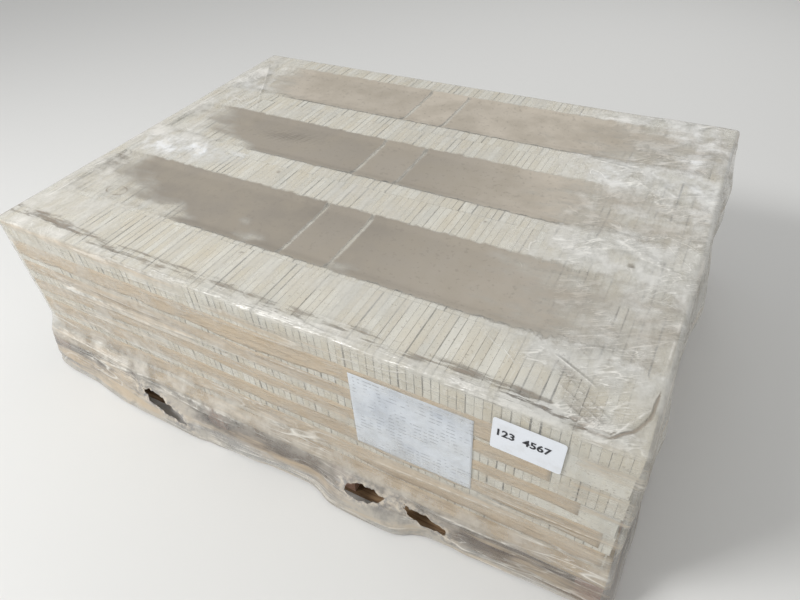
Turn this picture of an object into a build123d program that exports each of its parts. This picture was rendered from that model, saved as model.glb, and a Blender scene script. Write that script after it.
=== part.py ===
"""A pallet of thin bricks: six courses on edge, kraft slip sheets, a wooden pallet and a film hood.

Millimetres, +Z up. The origin is on the floor under the middle of the pallet. +X runs along
the long side, and -Y is the long side that carries the packing list and the label.
"""
import os

from build123d import *

os.makedirs("parts", exist_ok=True)

# Bricks stand on edge, their length front to back
brick_thickness = 19.05
brick_height = 75.0
brick_length = 190.5
brick_joint = 0.45
row_joint = 0.7
bricks_per_row = 94
rows = 7
courses = 6

# Brick ends: every other one is set back a little, and the arrises leave a notch
end_setback = 0.9
notch_half_width = 1.1
notch_depth = 3.2
row_notch_half_width = 2.0
row_notch_depth = 5.0
joints_per_top_groove = 3

# Bands of the top course that lie lower than the rows beside them, placed in rows from the front
band_depth = 8.0
band_starts_in_rows = (1.08, 3.26, 5.26)
band_widths_in_rows = (1.32, 1.21, 1.32)
band_end_margin = 46.0

# Kraft slip sheets between the courses, folded down over the front and the back
sheet_thickness = 1.0
sheet_left_inset = 10.0
sheet_right_insets = (9.0, 27.0, 86.0, 157.0, 216.0)
front_flaps = (66.0, 60.0, 41.0, 45.0, 64.0)
back_flap = 48.0
sheet_clearance = 0.3

# Wooden pallet with four stringers front to back
deck_overhang_ends = 12.0
deck_overhang_sides = 30.0
board_width = 139.7
board_thickness = 19.0
deck_boards = 8
bottom_boards = 3
stringer_width = 64.0
stringer_height = 89.0
stringer_count = 4
middle_stringer_offset = 231.0
board_chamfer = 1.5

# Stretch hood of film
film_thickness = 2.0
film_clearance = 0.4
film_corner_radius = 8.0
film_slack_right = 28.0
knee_above_deck = 70.0
skirt_clearance = 3.0
skirt_flare = 20.0
hem_height = 7.0

# Fork tears in the film: middle along X, width and height, and the ragged outline in shares of both
tear_middles = (-456.0, 372.0)
tear_widths = (196.0, 306.0)
tear_sill = 12.0
tear_height = 84.0
tear_outline = (
    (0.0, 0.45),
    (0.14, 0.12),
    (0.42, 0.0),
    (0.80, 0.10),
    (1.0, 0.36),
    (0.94, 0.78),
    (0.72, 0.90),
    (0.50, 1.0),
    (0.20, 0.84),
)

# Packing list under the film and label outside it, with their middles from the stack's right end and top
paper_thickness = 0.5
paper_size = (310.0, 262.0)
paper_from_end = 484.0
paper_from_top = 217.0
label_thickness = 0.6
label_size = (152.4, 101.6)
label_from_end = 213.0
label_from_top = 95.0
label_corner_radius = 6.0

# Derived sizes
brick_pitch = brick_thickness + brick_joint
row_pitch = brick_length + row_joint
stack_depth = rows * row_pitch - row_joint
turned_bricks = round(brick_length / brick_thickness)
tied_bricks_per_row = bricks_per_row - 2 * turned_bricks
tied_length = tied_bricks_per_row * brick_pitch + 2 * brick_length + brick_joint
plain_length = bricks_per_row * brick_pitch - brick_joint
stack_length = max(plain_length, tied_length)
course_pitch = brick_height + sheet_thickness
pallet_length = stack_length + 2 * deck_overhang_ends
pallet_depth = stack_depth + 2 * deck_overhang_sides
deck_underside = board_thickness + stringer_height
deck_top = deck_underside + board_thickness
stack_top = deck_top + courses * course_pitch - sheet_thickness
flap_stand_off = sheet_clearance + sheet_thickness
paper_stand_off = flap_stand_off + sheet_clearance
film_stand_off = paper_stand_off + paper_thickness + film_clearance
film_inner_top = stack_top + film_clearance
tear_reach = deck_overhang_sides + skirt_clearance + skirt_flare + 2 * film_thickness
paper_middle = (stack_length / 2 - paper_from_end, stack_top - paper_from_top)
label_middle = (stack_length / 2 - label_from_end, stack_top - label_from_top)


def brick_ends(start, count, pitch):
    """Points (along, inset) of a run of brick ends, every other brick set back."""
    points = []
    for i in range(count):
        left = start + i * pitch
        inset = end_setback * (i % 2)
        notched_after = i % 2 == 1 and i < count - 1
        notched_before = i % 2 == 0 and i > 0
        points.append((left + (notch_half_width if notched_before else 0.0), inset))
        right = left + brick_thickness
        points.append((right - (notch_half_width if notched_after else 0.0), inset))
        if notched_after:
            points.append((left + pitch - (pitch - brick_thickness) / 2, notch_depth))
    return points


def long_faces(start, count):
    """Points (along, inset) of brick faces side by side, with a notch at each row joint."""
    points = [(start, 0.0)]
    for i in range(1, count):
        joint = start + i * row_pitch - row_joint / 2
        points.append((joint - row_notch_half_width, 0.0))
        points.append((joint, row_notch_depth))
        points.append((joint + row_notch_half_width, 0.0))
    points.append((start + count * row_pitch - row_joint, 0.0))
    return points


def notch(along):
    """Points (along, inset) of the notch between a turned block and the brick beside it."""
    return [(along, row_notch_depth)]


def front_edge(tied):
    """Points (along X, inset) of a course's front or back, its corner blocks turned if it is tied."""
    if not tied:
        return brick_ends(-plain_length / 2, bricks_per_row, brick_pitch)
    left = -tied_length / 2
    field = left + brick_length + brick_joint
    block = [(left, 0.0), (left + brick_length - row_notch_half_width, 0.0)]
    run = brick_ends(field, tied_bricks_per_row, brick_pitch)
    mirrored_block = [(-along, inset) for along, inset in reversed(block)]
    joint = left + brick_length + brick_joint / 2
    return block + notch(joint) + run + notch(-joint) + mirrored_block


def end_edge(tied):
    """Points (along Y, inset) of the outline of a course's end, front to back."""
    front = -stack_depth / 2
    if not tied:
        return long_faces(front, rows)
    block = brick_ends(front, turned_bricks, brick_length / turned_bricks)
    middle_rows = long_faces(front + row_pitch, rows - 2)
    mirrored_block = [(-along, inset) for along, inset in reversed(block)]
    joint = front + brick_length + row_joint / 2
    return block + notch(joint) + middle_rows + notch(-joint) + mirrored_block


def course_outline(tied):
    """Corner points of a course seen from above, counter-clockwise from the front left."""
    half_length = (tied_length if tied else plain_length) / 2
    half_depth = stack_depth / 2
    ends = end_edge(tied)[1:-1]
    front = [(x, -half_depth + inset) for x, inset in front_edge(tied)]
    right = [(half_length - inset, y) for y, inset in ends]
    back = [(x, half_depth - inset) for x, inset in reversed(front_edge(tied))]
    left = [(-half_length + inset, y) for y, inset in reversed(ends)]
    return front + right + back + left


def top_grooves():
    """Profile points (X, Z) of the top of the top course, with a notch at every third joint."""
    points = [(-plain_length / 2, stack_top)]
    for i in range(joints_per_top_groove, bricks_per_row, joints_per_top_groove):
        joint = -plain_length / 2 + i * brick_pitch - brick_joint / 2
        points.append((joint - notch_half_width, stack_top))
        points.append((joint, stack_top - notch_depth))
        points.append((joint + notch_half_width, stack_top))
    points.append((plain_length / 2, stack_top))
    return points


def low_bands():
    """Front edge and width of each low band of the top course."""
    fronts = [-stack_depth / 2 + start * row_pitch for start in band_starts_in_rows]
    widths = [share * row_pitch for share in band_widths_in_rows]
    return list(zip(fronts, widths))


# Pallet: bottom boards, stringers and deck boards
def spread(count, span, width):
    """Middles of equal boards that fill a span from edge to edge."""
    step = (span - width) / (count - 1)
    return [-(span - width) / 2 + i * step for i in range(count)]


def board(middle, level, name):
    """One board along X, with broken edges."""
    with BuildPart() as plank:
        with BuildSketch(Plane.XY.offset(level)):
            with Locations((0, middle)):
                Rectangle(pallet_length, board_width)
        extrude(amount=board_thickness)
        chamfer(plank.edges().filter_by(Axis.X), board_chamfer)
    plank.part.label = name
    export_step(plank.part, f"parts/{name}.step")


for number, middle in enumerate(spread(bottom_boards, pallet_depth, board_width), start=1):
    board(middle, 0.0, f"bottom_board_{number}")

outer_stringer = (pallet_length - stringer_width) / 2
stringer_middles = (-outer_stringer, -middle_stringer_offset, middle_stringer_offset, outer_stringer)
for number, middle in enumerate(stringer_middles[:stringer_count], start=1):
    with BuildPart() as stringer:
        with BuildSketch(Plane.XY.offset(board_thickness)):
            with Locations((middle, 0)):
                Rectangle(stringer_width, pallet_depth)
        extrude(amount=stringer_height)
        chamfer(stringer.edges().filter_by(Axis.Y), board_chamfer)
    stringer.part.label = f"stringer_{number}"
    export_step(stringer.part, f"parts/stringer_{number}.step")

for number, middle in enumerate(spread(deck_boards, pallet_depth, board_width), start=1):
    board(middle, deck_underside, f"deck_board_{number}")

# Brick courses, the lowest first
for number in range(1, courses + 1):
    level = deck_top + (number - 1) * course_pitch
    tied = number % 2 == 1
    with BuildPart() as course:
        with BuildSketch(Plane.XY.offset(level)):
            with BuildLine():
                Polyline(*course_outline(tied), close=True)
            make_face()
        extrude(amount=brick_height)
        if number == courses:
            with BuildSketch(Plane.XZ):
                with BuildLine():
                    half = plain_length / 2
                    Polyline(*top_grooves(), (half, level), (-half, level), close=True)
                make_face()
            extrude(amount=stack_depth / 2, both=True, mode=Mode.INTERSECT)
            for front, width in low_bands():
                with BuildSketch(Plane.XY.offset(stack_top - band_depth)):
                    with Locations((0, front + width / 2)):
                        Rectangle(stack_length - 2 * band_end_margin, width)
                extrude(amount=band_depth, mode=Mode.SUBTRACT)
    course.part.label = f"brick_course_{number}"
    export_step(course.part, f"parts/brick_course_{number}.step")

# Kraft slip sheets, the lowest first
for number in range(1, courses):
    level = deck_top + number * course_pitch
    right_end = stack_length / 2 - sheet_right_insets[number - 1]
    left_end = -stack_length / 2 + sheet_left_inset
    inner = stack_depth / 2 + sheet_clearance
    outer = inner + sheet_thickness
    front_hem = level - front_flaps[number - 1]
    back_hem = level - back_flap
    under = level - sheet_thickness
    with BuildPart() as sheet:
        with BuildSketch(Plane.YZ.offset(left_end)):
            with BuildLine():
                Polyline(
                    (-outer, front_hem),
                    (-inner, front_hem),
                    (-inner, under),
                    (inner, under),
                    (inner, back_hem),
                    (outer, back_hem),
                    (outer, level),
                    (-outer, level),
                    close=True,
                )
            make_face()
        extrude(amount=right_end - left_end)
    sheet.part.label = f"slip_sheet_{number}"
    export_step(sheet.part, f"parts/slip_sheet_{number}.step")


# Stretch hood: a film shell over the stack and the pallet, open below
def hood_levels(inset):
    """Half length to the left and right, half depth and level of each section, bottom first."""
    wall = film_stand_off + film_thickness - inset
    skirt = skirt_clearance + film_thickness - inset
    half_length = stack_length / 2
    half_depth = stack_depth / 2
    pallet_half = pallet_length / 2 + skirt
    pallet_side = pallet_depth / 2 + skirt
    knee = deck_top + knee_above_deck
    middle = (knee + stack_top) / 2
    top = film_inner_top + film_thickness - inset
    low = hem_height - inset
    return (
        (pallet_half + skirt_flare, pallet_half + skirt_flare, pallet_side + skirt_flare, low),
        (pallet_half, pallet_half, pallet_side, deck_top),
        (half_length + wall, half_length + wall + film_slack_right / 2, half_depth + wall, knee),
        (half_length + wall, half_length + wall + film_slack_right, half_depth + wall, middle),
        (half_length + wall, half_length + wall, half_depth + wall, top),
    )


def hood_sections(inset):
    """Rounded outlines of the hood, one at each level."""
    sections = []
    for left, right, side, level in hood_levels(inset):
        with BuildSketch(Plane.XY.offset(level), mode=Mode.PRIVATE) as section:
            with Locations(((right - left) / 2, 0)):
                RectangleRounded(left + right, 2 * side, film_corner_radius - inset)
        sections.append(section.sketch)
    return sections


def band_pocket(front, width, margin, floor):
    """Box over one low band of the top course, drawn in by a margin."""
    with BuildPart(mode=Mode.PRIVATE) as pocket:
        with BuildSketch(Plane.XY.offset(floor)):
            with Locations((0, front + width / 2)):
                length = stack_length - 2 * band_end_margin
                Rectangle(length - 2 * margin, width - 2 * margin)
        extrude(amount=film_inner_top + 2 * film_thickness - floor)
    return pocket.part


with BuildPart() as inner_space:
    loft(sections=hood_sections(film_thickness), ruled=True)
    for front, width in low_bands():
        floor = film_inner_top - band_depth
        add(band_pocket(front, width, film_clearance, floor), mode=Mode.SUBTRACT)

with BuildPart() as stretch_hood:
    loft(sections=hood_sections(0.0), ruled=True)
    for front, width in low_bands():
        floor = film_inner_top + film_thickness - band_depth
        margin = film_clearance + film_thickness
        add(band_pocket(front, width, margin, floor), mode=Mode.SUBTRACT)
    add(inner_space.part, mode=Mode.SUBTRACT)
    for middle, width in zip(tear_middles, tear_widths):
        left = middle - width / 2
        edge = [(left + along * width, tear_sill + up * tear_height) for along, up in tear_outline]
        with BuildSketch(Plane.XZ.offset(stack_depth / 2)):
            with BuildLine():
                Polyline(*edge, close=True)
            make_face()
        extrude(amount=tear_reach, mode=Mode.SUBTRACT)
stretch_hood.part.label = "stretch_hood"
export_step(stretch_hood.part, "parts/stretch_hood.step")

# Packing list between the flaps and the film
with BuildPart() as packing_list:
    with BuildSketch(Plane.XZ.offset(stack_depth / 2 + paper_stand_off)):
        with Locations(paper_middle):
            Rectangle(*paper_size)
    extrude(amount=paper_thickness)
packing_list.part.label = "packing_list"
export_step(packing_list.part, "parts/packing_list.step")

# Label on the outside of the film
with BuildPart() as label:
    with BuildSketch(Plane.XZ.offset(stack_depth / 2 + film_stand_off + film_thickness)):
        with Locations(label_middle):
            RectangleRounded(*label_size, label_corner_radius)
    extrude(amount=label_thickness)
label.part.label = "label"
export_step(label.part, "parts/label.step")
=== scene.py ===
"""Looks of the pallet of bricks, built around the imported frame.

The pieces are the six courses of thin bricks, the kraft slip sheets between them, the wooden
pallet, the clear film hood with its fork tears, the packing list and the label. Everything is in
metres, in the frame's own axes: +X along the long side, -Y towards the side with the label.
"""
import logging
import math
from dataclasses import dataclass, field
from enum import Enum
from typing import Callable, Iterable, Sequence

import bpy
import numpy as np
from mathutils import Matrix, Vector


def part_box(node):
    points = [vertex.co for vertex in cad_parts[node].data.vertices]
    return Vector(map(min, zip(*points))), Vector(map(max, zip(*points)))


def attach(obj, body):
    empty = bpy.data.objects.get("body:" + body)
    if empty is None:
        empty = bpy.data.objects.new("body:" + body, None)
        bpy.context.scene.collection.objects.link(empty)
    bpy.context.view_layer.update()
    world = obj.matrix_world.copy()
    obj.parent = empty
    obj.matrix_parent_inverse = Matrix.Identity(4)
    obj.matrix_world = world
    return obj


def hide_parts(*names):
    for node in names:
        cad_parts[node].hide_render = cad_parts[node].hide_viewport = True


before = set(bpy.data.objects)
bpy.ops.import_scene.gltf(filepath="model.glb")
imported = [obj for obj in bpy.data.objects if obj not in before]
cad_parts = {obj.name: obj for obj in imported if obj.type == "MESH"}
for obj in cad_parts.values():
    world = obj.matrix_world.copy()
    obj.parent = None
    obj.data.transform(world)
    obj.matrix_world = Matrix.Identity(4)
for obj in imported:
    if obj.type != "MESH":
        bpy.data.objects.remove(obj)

log = logging.getLogger("pallet_of_bricks")
Array = np.ndarray
Colour = tuple[float, float, float, float]
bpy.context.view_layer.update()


# Numbers and shapes


def srgb(red: float, green: float, blue: float) -> Colour:
    """Linear colour of an sRGB colour given in 0 to 255."""
    def linear(value: float) -> float:
        share = value / 255.0
        return share / 12.92 if share <= 0.04045 else ((share + 0.055) / 1.055) ** 2.4

    return (linear(red), linear(green), linear(blue), 1.0)


def smooth(low: float, high: float, values: Array) -> Array:
    """Smooth step: 0 below low, 1 above high, and 3t^2 - 2t^3 between, where t is the share passed."""
    t = np.clip((values - low) / (high - low), 0.0, 1.0)
    return t * t * (3.0 - 2.0 * t)


def bell(values: Array, middle: float, width: float) -> Array:
    """Bell curve exp(-((v - middle) / width)^2)."""
    return np.exp(-(((values - middle) / width) ** 2))


def held_back(values: Array, limit: float, slack: float) -> Array:
    """Values that come closer and closer to the limit, and never pass it.

    Args:
        values: Distances from the middle, 0 or more.
        limit: The distance that none may pass.
        slack: How far below the limit the slowing starts.

    Returns:
        The values, unchanged below the slack.
    """
    over = np.maximum(values - (limit - slack), 0.0)
    return np.where(over > 0.0, limit - slack * np.exp(-over / slack), values)


def lattice(cells: Array, seed: int) -> Array:
    """Pseudo-random number from -1 to 1 at each integer lattice point.

    Args:
        cells: Integer points, shape (n, 3).
        seed: Number that picks one random field.

    Returns:
        One value for each point, from the fractional part of a large sine.
    """
    turned = cells @ np.array([12.9898, 78.233, 37.719]) + seed * 4.1414
    return 2.0 * np.modf(np.abs(np.sin(turned) * 43758.5453))[0] - 1.0


def noise(points: Array, size: Sequence[float], seed: int) -> Array:
    """Value noise: lattice values blended by the smooth step of the place in each cell.

    Args:
        points: Places in metres, shape (n, 3).
        size: Length of a cell along X, Y and Z, in metres.
        seed: Number that picks one random field.

    Returns:
        Values from about -1 to 1, shape (n,).
    """
    scaled = points / np.array(size)
    cell = np.floor(scaled)
    share = scaled - cell
    share = share * share * (3.0 - 2.0 * share)
    total = np.zeros(len(points))
    for corner in range(8):
        step = np.array([corner & 1, corner >> 1 & 1, corner >> 2 & 1])
        weight = np.prod(np.where(step, share, 1.0 - share), axis=1)
        total += weight * lattice(cell + step, seed)
    return total


def creases(points: Array, size: Sequence[float], seed: int, sharpness: float = 2.0) -> Array:
    """Ridged noise (1 - |noise|)^sharpness: thin crests where the noise crosses zero, from 0 to 1."""
    return (1.0 - np.abs(noise(points, size, seed))) ** sharpness


def mesh_piece(name: str, points: Array, faces: Array, shade_smooth: bool = True) -> bpy.types.Object:
    """Makes an object at the origin from whole arrays.

    Args:
        name: Name of the piece.
        points: Vertices in metres in the frame, shape (n, 3).
        faces: Faces of one kind as vertex numbers, shape (m, corners of a face).
        shade_smooth: Whether the faces are shaded smooth.

    Returns:
        The new object, linked to the scene.
    """
    mesh = bpy.data.meshes.new(name)
    corners = faces.shape[1]
    mesh.vertices.add(len(points))
    mesh.vertices.foreach_set("co", points.astype(np.float32).ravel())
    mesh.loops.add(faces.size)
    mesh.loops.foreach_set("vertex_index", faces.astype(np.int32).ravel())
    mesh.polygons.add(len(faces))
    mesh.polygons.foreach_set("loop_start", np.arange(0, faces.size, corners, dtype=np.int32))
    mesh.polygons.foreach_set("use_smooth", np.full(len(faces), shade_smooth))
    mesh.update(calc_edges=True)
    mesh.validate()
    piece = bpy.data.objects.new(name, mesh)
    bpy.context.scene.collection.objects.link(piece)
    return piece


def set_attribute(piece: bpy.types.Object, name: str, values: Array, domain: str = "POINT") -> None:
    """Stores one number for each vertex or face, for the material to read by name."""
    attribute = piece.data.attributes.new(name, "FLOAT", domain)
    attribute.data.foreach_set("value", values.astype(np.float32))


def grid_faces(rows: int, columns: int) -> Array:
    """Quads of a grid of rows by columns vertices, numbered row by row."""
    first = (np.arange(rows - 1)[:, None] * columns + np.arange(columns - 1)[None, :]).ravel()
    return np.stack([first, first + 1, first + columns + 1, first + columns], axis=1)


def box_corners(low: Array, high: Array, bevel: Array) -> Array:
    """Vertices of bevelled boxes: 24 a box, the four corners of each side drawn in by the bevels.

    Args:
        low: Lowest corners, shape (n, 3).
        high: Highest corners, shape (n, 3).
        bevel: How far the corners are drawn in from the low and the high end of each axis,
            shape (n, 3, 2).

    Returns:
        Vertices, shape (n, 24, 3), side by side in the order -X, +X, -Y, +Y, -Z, +Z.
    """
    sides = []
    for axis in range(3):
        for end in (0, 1):
            for first, second in ((0, 0), (1, 0), (1, 1), (0, 1)):
                place = [0, 0, 0]
                place[axis] = end
                place[(axis + 1) % 3] = first
                place[(axis + 2) % 3] = second
                corner = np.where(np.array(place) == 1, high, low)
                inward = np.where(np.array(place) == 1, -1.0, 1.0)
                inward[axis] = 0.0
                sides.append(corner + inward * bevel[:, (0, 1, 2), place])
    return np.stack(sides, axis=1)


def box_face_lists() -> tuple[Array, Array]:
    """Faces of one bevelled box of 24 vertices.

    Returns:
        The quads (6 sides, then 12 bevels) and the 8 corner triangles, all facing outwards.
    """
    corners = box_corners(-np.ones((1, 3)), np.ones((1, 3)), np.full((1, 3, 2), 0.25))[0]
    quads: list[list[int]] = [list(range(4 * side, 4 * side + 4)) for side in range(6)]
    triangles: list[list[int]] = []
    signs = np.sign(corners)
    for axis in range(3):
        for a in (-1, 1):
            for b in (-1, 1):
                first, second = (axis + 1) % 3, (axis + 2) % 3
                on_edge = (signs[:, first] == a) & (signs[:, second] == b)
                outer = np.abs(corners[:, axis]) < 1.0
                quads.append(list(np.flatnonzero(on_edge & outer)))
    for a in (-1, 1):
        for b in (-1, 1):
            for c in (-1, 1):
                triangles.append(list(np.flatnonzero((signs == (a, b, c)).all(axis=1))))
    return np.array([outward(f, corners) for f in quads]), np.array([outward(f, corners) for f in triangles])


def outward(face: Sequence[int], points: Array) -> list[int]:
    """The face's vertices in an order round its middle that faces away from the origin."""
    ring = points[list(face)]
    middle = ring.mean(axis=0)
    axis = middle / np.linalg.norm(middle)
    side = np.cross(axis, [0.31, 0.52, 0.79])
    side /= np.linalg.norm(side)
    up = np.cross(axis, side)
    turn = np.arctan2((ring - middle) @ up, (ring - middle) @ side)
    return [int(face[i]) for i in np.argsort(turn)]


# Node trees


class Nodes:
    """Adds nodes to one tree and links them, with a method for each kind of step."""

    def __init__(self, tree: bpy.types.NodeTree) -> None:
        """Starts on a tree."""
        self.tree = tree

    def add(self, kind: str, **settings: object) -> bpy.types.Node:
        """Adds a node of a kind and sets its properties."""
        node = self.tree.nodes.new(kind)
        for name, value in settings.items():
            setattr(node, name, value)
        return node

    def put(self, value: object, socket: bpy.types.NodeSocket) -> None:
        """Links an output socket to an input, or sets the input's own value."""
        if isinstance(value, bpy.types.NodeSocket):
            self.tree.links.new(value, socket)
        else:
            socket.default_value = value

    def place(self) -> bpy.types.NodeSocket:
        """Object coordinates."""
        return self.add("ShaderNodeTexCoord").outputs["Object"]

    def attribute(self, name: str) -> bpy.types.NodeSocket:
        """Value of a named attribute of the mesh."""
        return self.add("ShaderNodeAttribute", attribute_name=name).outputs["Fac"]

    def stretch(self, vector: object, scale: Sequence[float], turn: float = 0.0) -> bpy.types.NodeSocket:
        """A vector scaled along each axis, and turned about Z before it."""
        turned = self.add("ShaderNodeMapping")
        self.put(vector, turned.inputs["Vector"])
        turned.inputs["Rotation"].default_value = (0.0, 0.0, turn)
        node = self.add("ShaderNodeVectorMath", operation="MULTIPLY")
        self.put(turned.outputs["Vector"], node.inputs[0])
        node.inputs[1].default_value = scale
        return node.outputs["Vector"]

    def noise(
        self, vector: object, scale: float, detail: float = 3.0, rough: float = 0.55, warp: float = 0.0
    ) -> bpy.types.NodeSocket:
        """Noise texture from 0 to 1."""
        node = self.add("ShaderNodeTexNoise")
        self.put(vector, node.inputs["Vector"])
        node.inputs["Scale"].default_value = scale
        node.inputs["Detail"].default_value = detail
        node.inputs["Roughness"].default_value = rough
        node.inputs["Distortion"].default_value = warp
        return node.outputs["Fac"]

    def math(self, kind: str, first: object, second: object = 0.0, clamp: bool = False) -> bpy.types.NodeSocket:
        """One Math node on two values."""
        node = self.add("ShaderNodeMath", operation=kind, use_clamp=clamp)
        self.put(first, node.inputs[0])
        self.put(second, node.inputs[1])
        return node.outputs[0]

    def ramp(
        self, value: object, low: float, high: float, start: float = 0.0, end: float = 1.0
    ) -> bpy.types.NodeSocket:
        """Smooth step of a value between low and high, going from start to end."""
        node = self.add("ShaderNodeMapRange", interpolation_type="SMOOTHSTEP")
        for name, number in (("Value", value), ("From Min", low), ("From Max", high)):
            self.put(number, node.inputs[name])
        self.put(start, node.inputs["To Min"])
        self.put(end, node.inputs["To Max"])
        return node.outputs[0]

    def mix(self, share: object, first: object, second: object, kind: str = "MIX") -> bpy.types.NodeSocket:
        """Mix of two colours."""
        node = self.add("ShaderNodeMix", data_type="RGBA", blend_type=kind)
        self.put(share, node.inputs[0])
        self.put(first, node.inputs[6])
        self.put(second, node.inputs[7])
        return node.outputs[2]

    def bump(self, height: object, depth: float, normal: object = None) -> bpy.types.NodeSocket:
        """Bump from a height in shares of a depth in metres."""
        node = self.add("ShaderNodeBump")
        self.put(height, node.inputs["Height"])
        node.inputs["Distance"].default_value = depth
        if normal is not None:
            self.put(normal, node.inputs["Normal"])
        return node.outputs["Normal"]

    def use(self, group: bpy.types.NodeTree, **values: object) -> bpy.types.Node:
        """Places a node group and feeds its inputs by name."""
        node = self.add("ShaderNodeGroup", node_tree=group)
        for name, value in values.items():
            self.put(value, node.inputs[name.replace("_", " ").capitalize()])
        return node


def new_group(name: str, inputs: Iterable[tuple[str, str, object]], outputs: Iterable[tuple[str, str]]) -> tuple:
    """Starts a shader node group with named sockets.

    Args:
        name: Name of the group.
        inputs: Name, kind (Float, Vector or Color) and default of each input.
        outputs: Name and kind of each output.

    Returns:
        The node tree, its Nodes helper, its input node and its output node.
    """
    tree = bpy.data.node_groups.new(name, "ShaderNodeTree")
    for label, kind, default in inputs:
        socket = tree.interface.new_socket(name=label, in_out="INPUT", socket_type="NodeSocket" + kind)
        if default is not None:
            socket.default_value = default
    for label, kind in outputs:
        tree.interface.new_socket(name=label, in_out="OUTPUT", socket_type="NodeSocket" + kind)
    nodes = Nodes(tree)
    return tree, nodes, nodes.add("NodeGroupInput"), nodes.add("NodeGroupOutput")


class Effects:
    """Node groups that more than one material uses, each built once."""

    def __init__(self) -> None:
        """Builds the groups."""
        self.grit = self.make_grit()
        self.soiling = self.make_soiling()
        self.crumple = self.make_crumple()

    @staticmethod
    def make_grit() -> bpy.types.NodeTree:
        """Fine grains: two sizes of noise, as a height from 0 to 1 and a mask of dark specks."""
        tree, nodes, given, result = new_group(
            "grit",
            [("Place", "Vector", None), ("Scale", "Float", 900.0), ("Speck share", "Float", 0.68)],
            [("Height", "Float"), ("Specks", "Float")],
        )
        fine = nodes.add("ShaderNodeTexNoise")
        coarse = nodes.add("ShaderNodeTexNoise")
        for node, share in ((fine, 1.0), (coarse, 0.23)):
            nodes.put(given.outputs["Place"], node.inputs["Vector"])
            nodes.put(nodes.math("MULTIPLY", given.outputs["Scale"], share), node.inputs["Scale"])
            node.inputs["Detail"].default_value = 4.0
        height = nodes.math("ADD", nodes.math("MULTIPLY", fine.outputs["Fac"], 0.6),
                            nodes.math("MULTIPLY", coarse.outputs["Fac"], 0.4))
        nodes.put(height, result.inputs["Height"])
        over = nodes.math("SUBTRACT", coarse.outputs["Fac"], given.outputs["Speck share"])
        nodes.put(nodes.math("MULTIPLY", over, 16.0, clamp=True), result.inputs["Specks"])
        return tree

    @staticmethod
    def make_soiling() -> bpy.types.NodeTree:
        """Dust and dirt: a soft blotchy mask from wide noise, broken up by fine noise."""
        tree, nodes, given, result = new_group(
            "soiling",
            [("Place", "Vector", None), ("Scale", "Float", 6.0), ("Amount", "Float", 0.5)],
            [("Mask", "Float")],
        )
        wide = nodes.add("ShaderNodeTexNoise")
        nodes.put(given.outputs["Place"], wide.inputs["Vector"])
        nodes.put(given.outputs["Scale"], wide.inputs["Scale"])
        wide.inputs["Detail"].default_value = 6.0
        wide.inputs["Roughness"].default_value = 0.62
        lifted = nodes.math("ADD", wide.outputs["Fac"], nodes.math("SUBTRACT", given.outputs["Amount"], 1.0))
        nodes.put(nodes.math("MULTIPLY", lifted, 3.2, clamp=True), result.inputs["Mask"])
        return tree

    @staticmethod
    def make_crumple() -> bpy.types.NodeTree:
        """Crumpled film or paper: thin crests where warped noise crosses its middle, at two sizes."""
        tree, nodes, given, result = new_group(
            "crumple",
            [("Place", "Vector", None), ("Scale", "Float", 20.0), ("Width", "Float", 0.05)],
            [("Height", "Float"), ("Crests", "Float")],
        )
        crests = []
        for share, warp in ((1.0, 0.35), (2.7, 0.2)):
            cell = nodes.add("ShaderNodeTexNoise")
            nodes.put(given.outputs["Place"], cell.inputs["Vector"])
            nodes.put(nodes.math("MULTIPLY", given.outputs["Scale"], share), cell.inputs["Scale"])
            cell.inputs["Detail"].default_value = 1.0
            cell.inputs["Distortion"].default_value = warp
            away = nodes.math("ABSOLUTE", nodes.math("SUBTRACT", cell.outputs["Fac"], 0.5))
            thin = nodes.math("DIVIDE", away, given.outputs["Width"])
            crests.append(nodes.math("SUBTRACT", 1.0, thin, clamp=True))
        height = nodes.math("ADD", nodes.math("MULTIPLY", crests[0], 0.65), nodes.math("MULTIPLY", crests[1], 0.35))
        nodes.put(height, result.inputs["Height"])
        nodes.put(nodes.math("MAXIMUM", crests[0], nodes.math("MULTIPLY", crests[1], 0.7)), result.inputs["Crests"])
        return tree


# Finishes


class Finish:
    """A material with one Principled shader. A subclass says what feeds it."""

    name = "finish"

    def build(self, effects: Effects) -> bpy.types.Material:
        """Makes the material.

        Args:
            effects: The shared node groups.

        Returns:
            The new material.
        """
        material = bpy.data.materials.new(self.name)
        material.use_nodes = True
        nodes = Nodes(material.node_tree)
        self.dress(nodes, material.node_tree.nodes["Principled BSDF"], effects)
        return material

    def dress(self, nodes: Nodes, shader: bpy.types.Node, effects: Effects) -> None:
        """Feeds the shader. A subclass fills this in."""
        raise NotImplementedError


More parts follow.
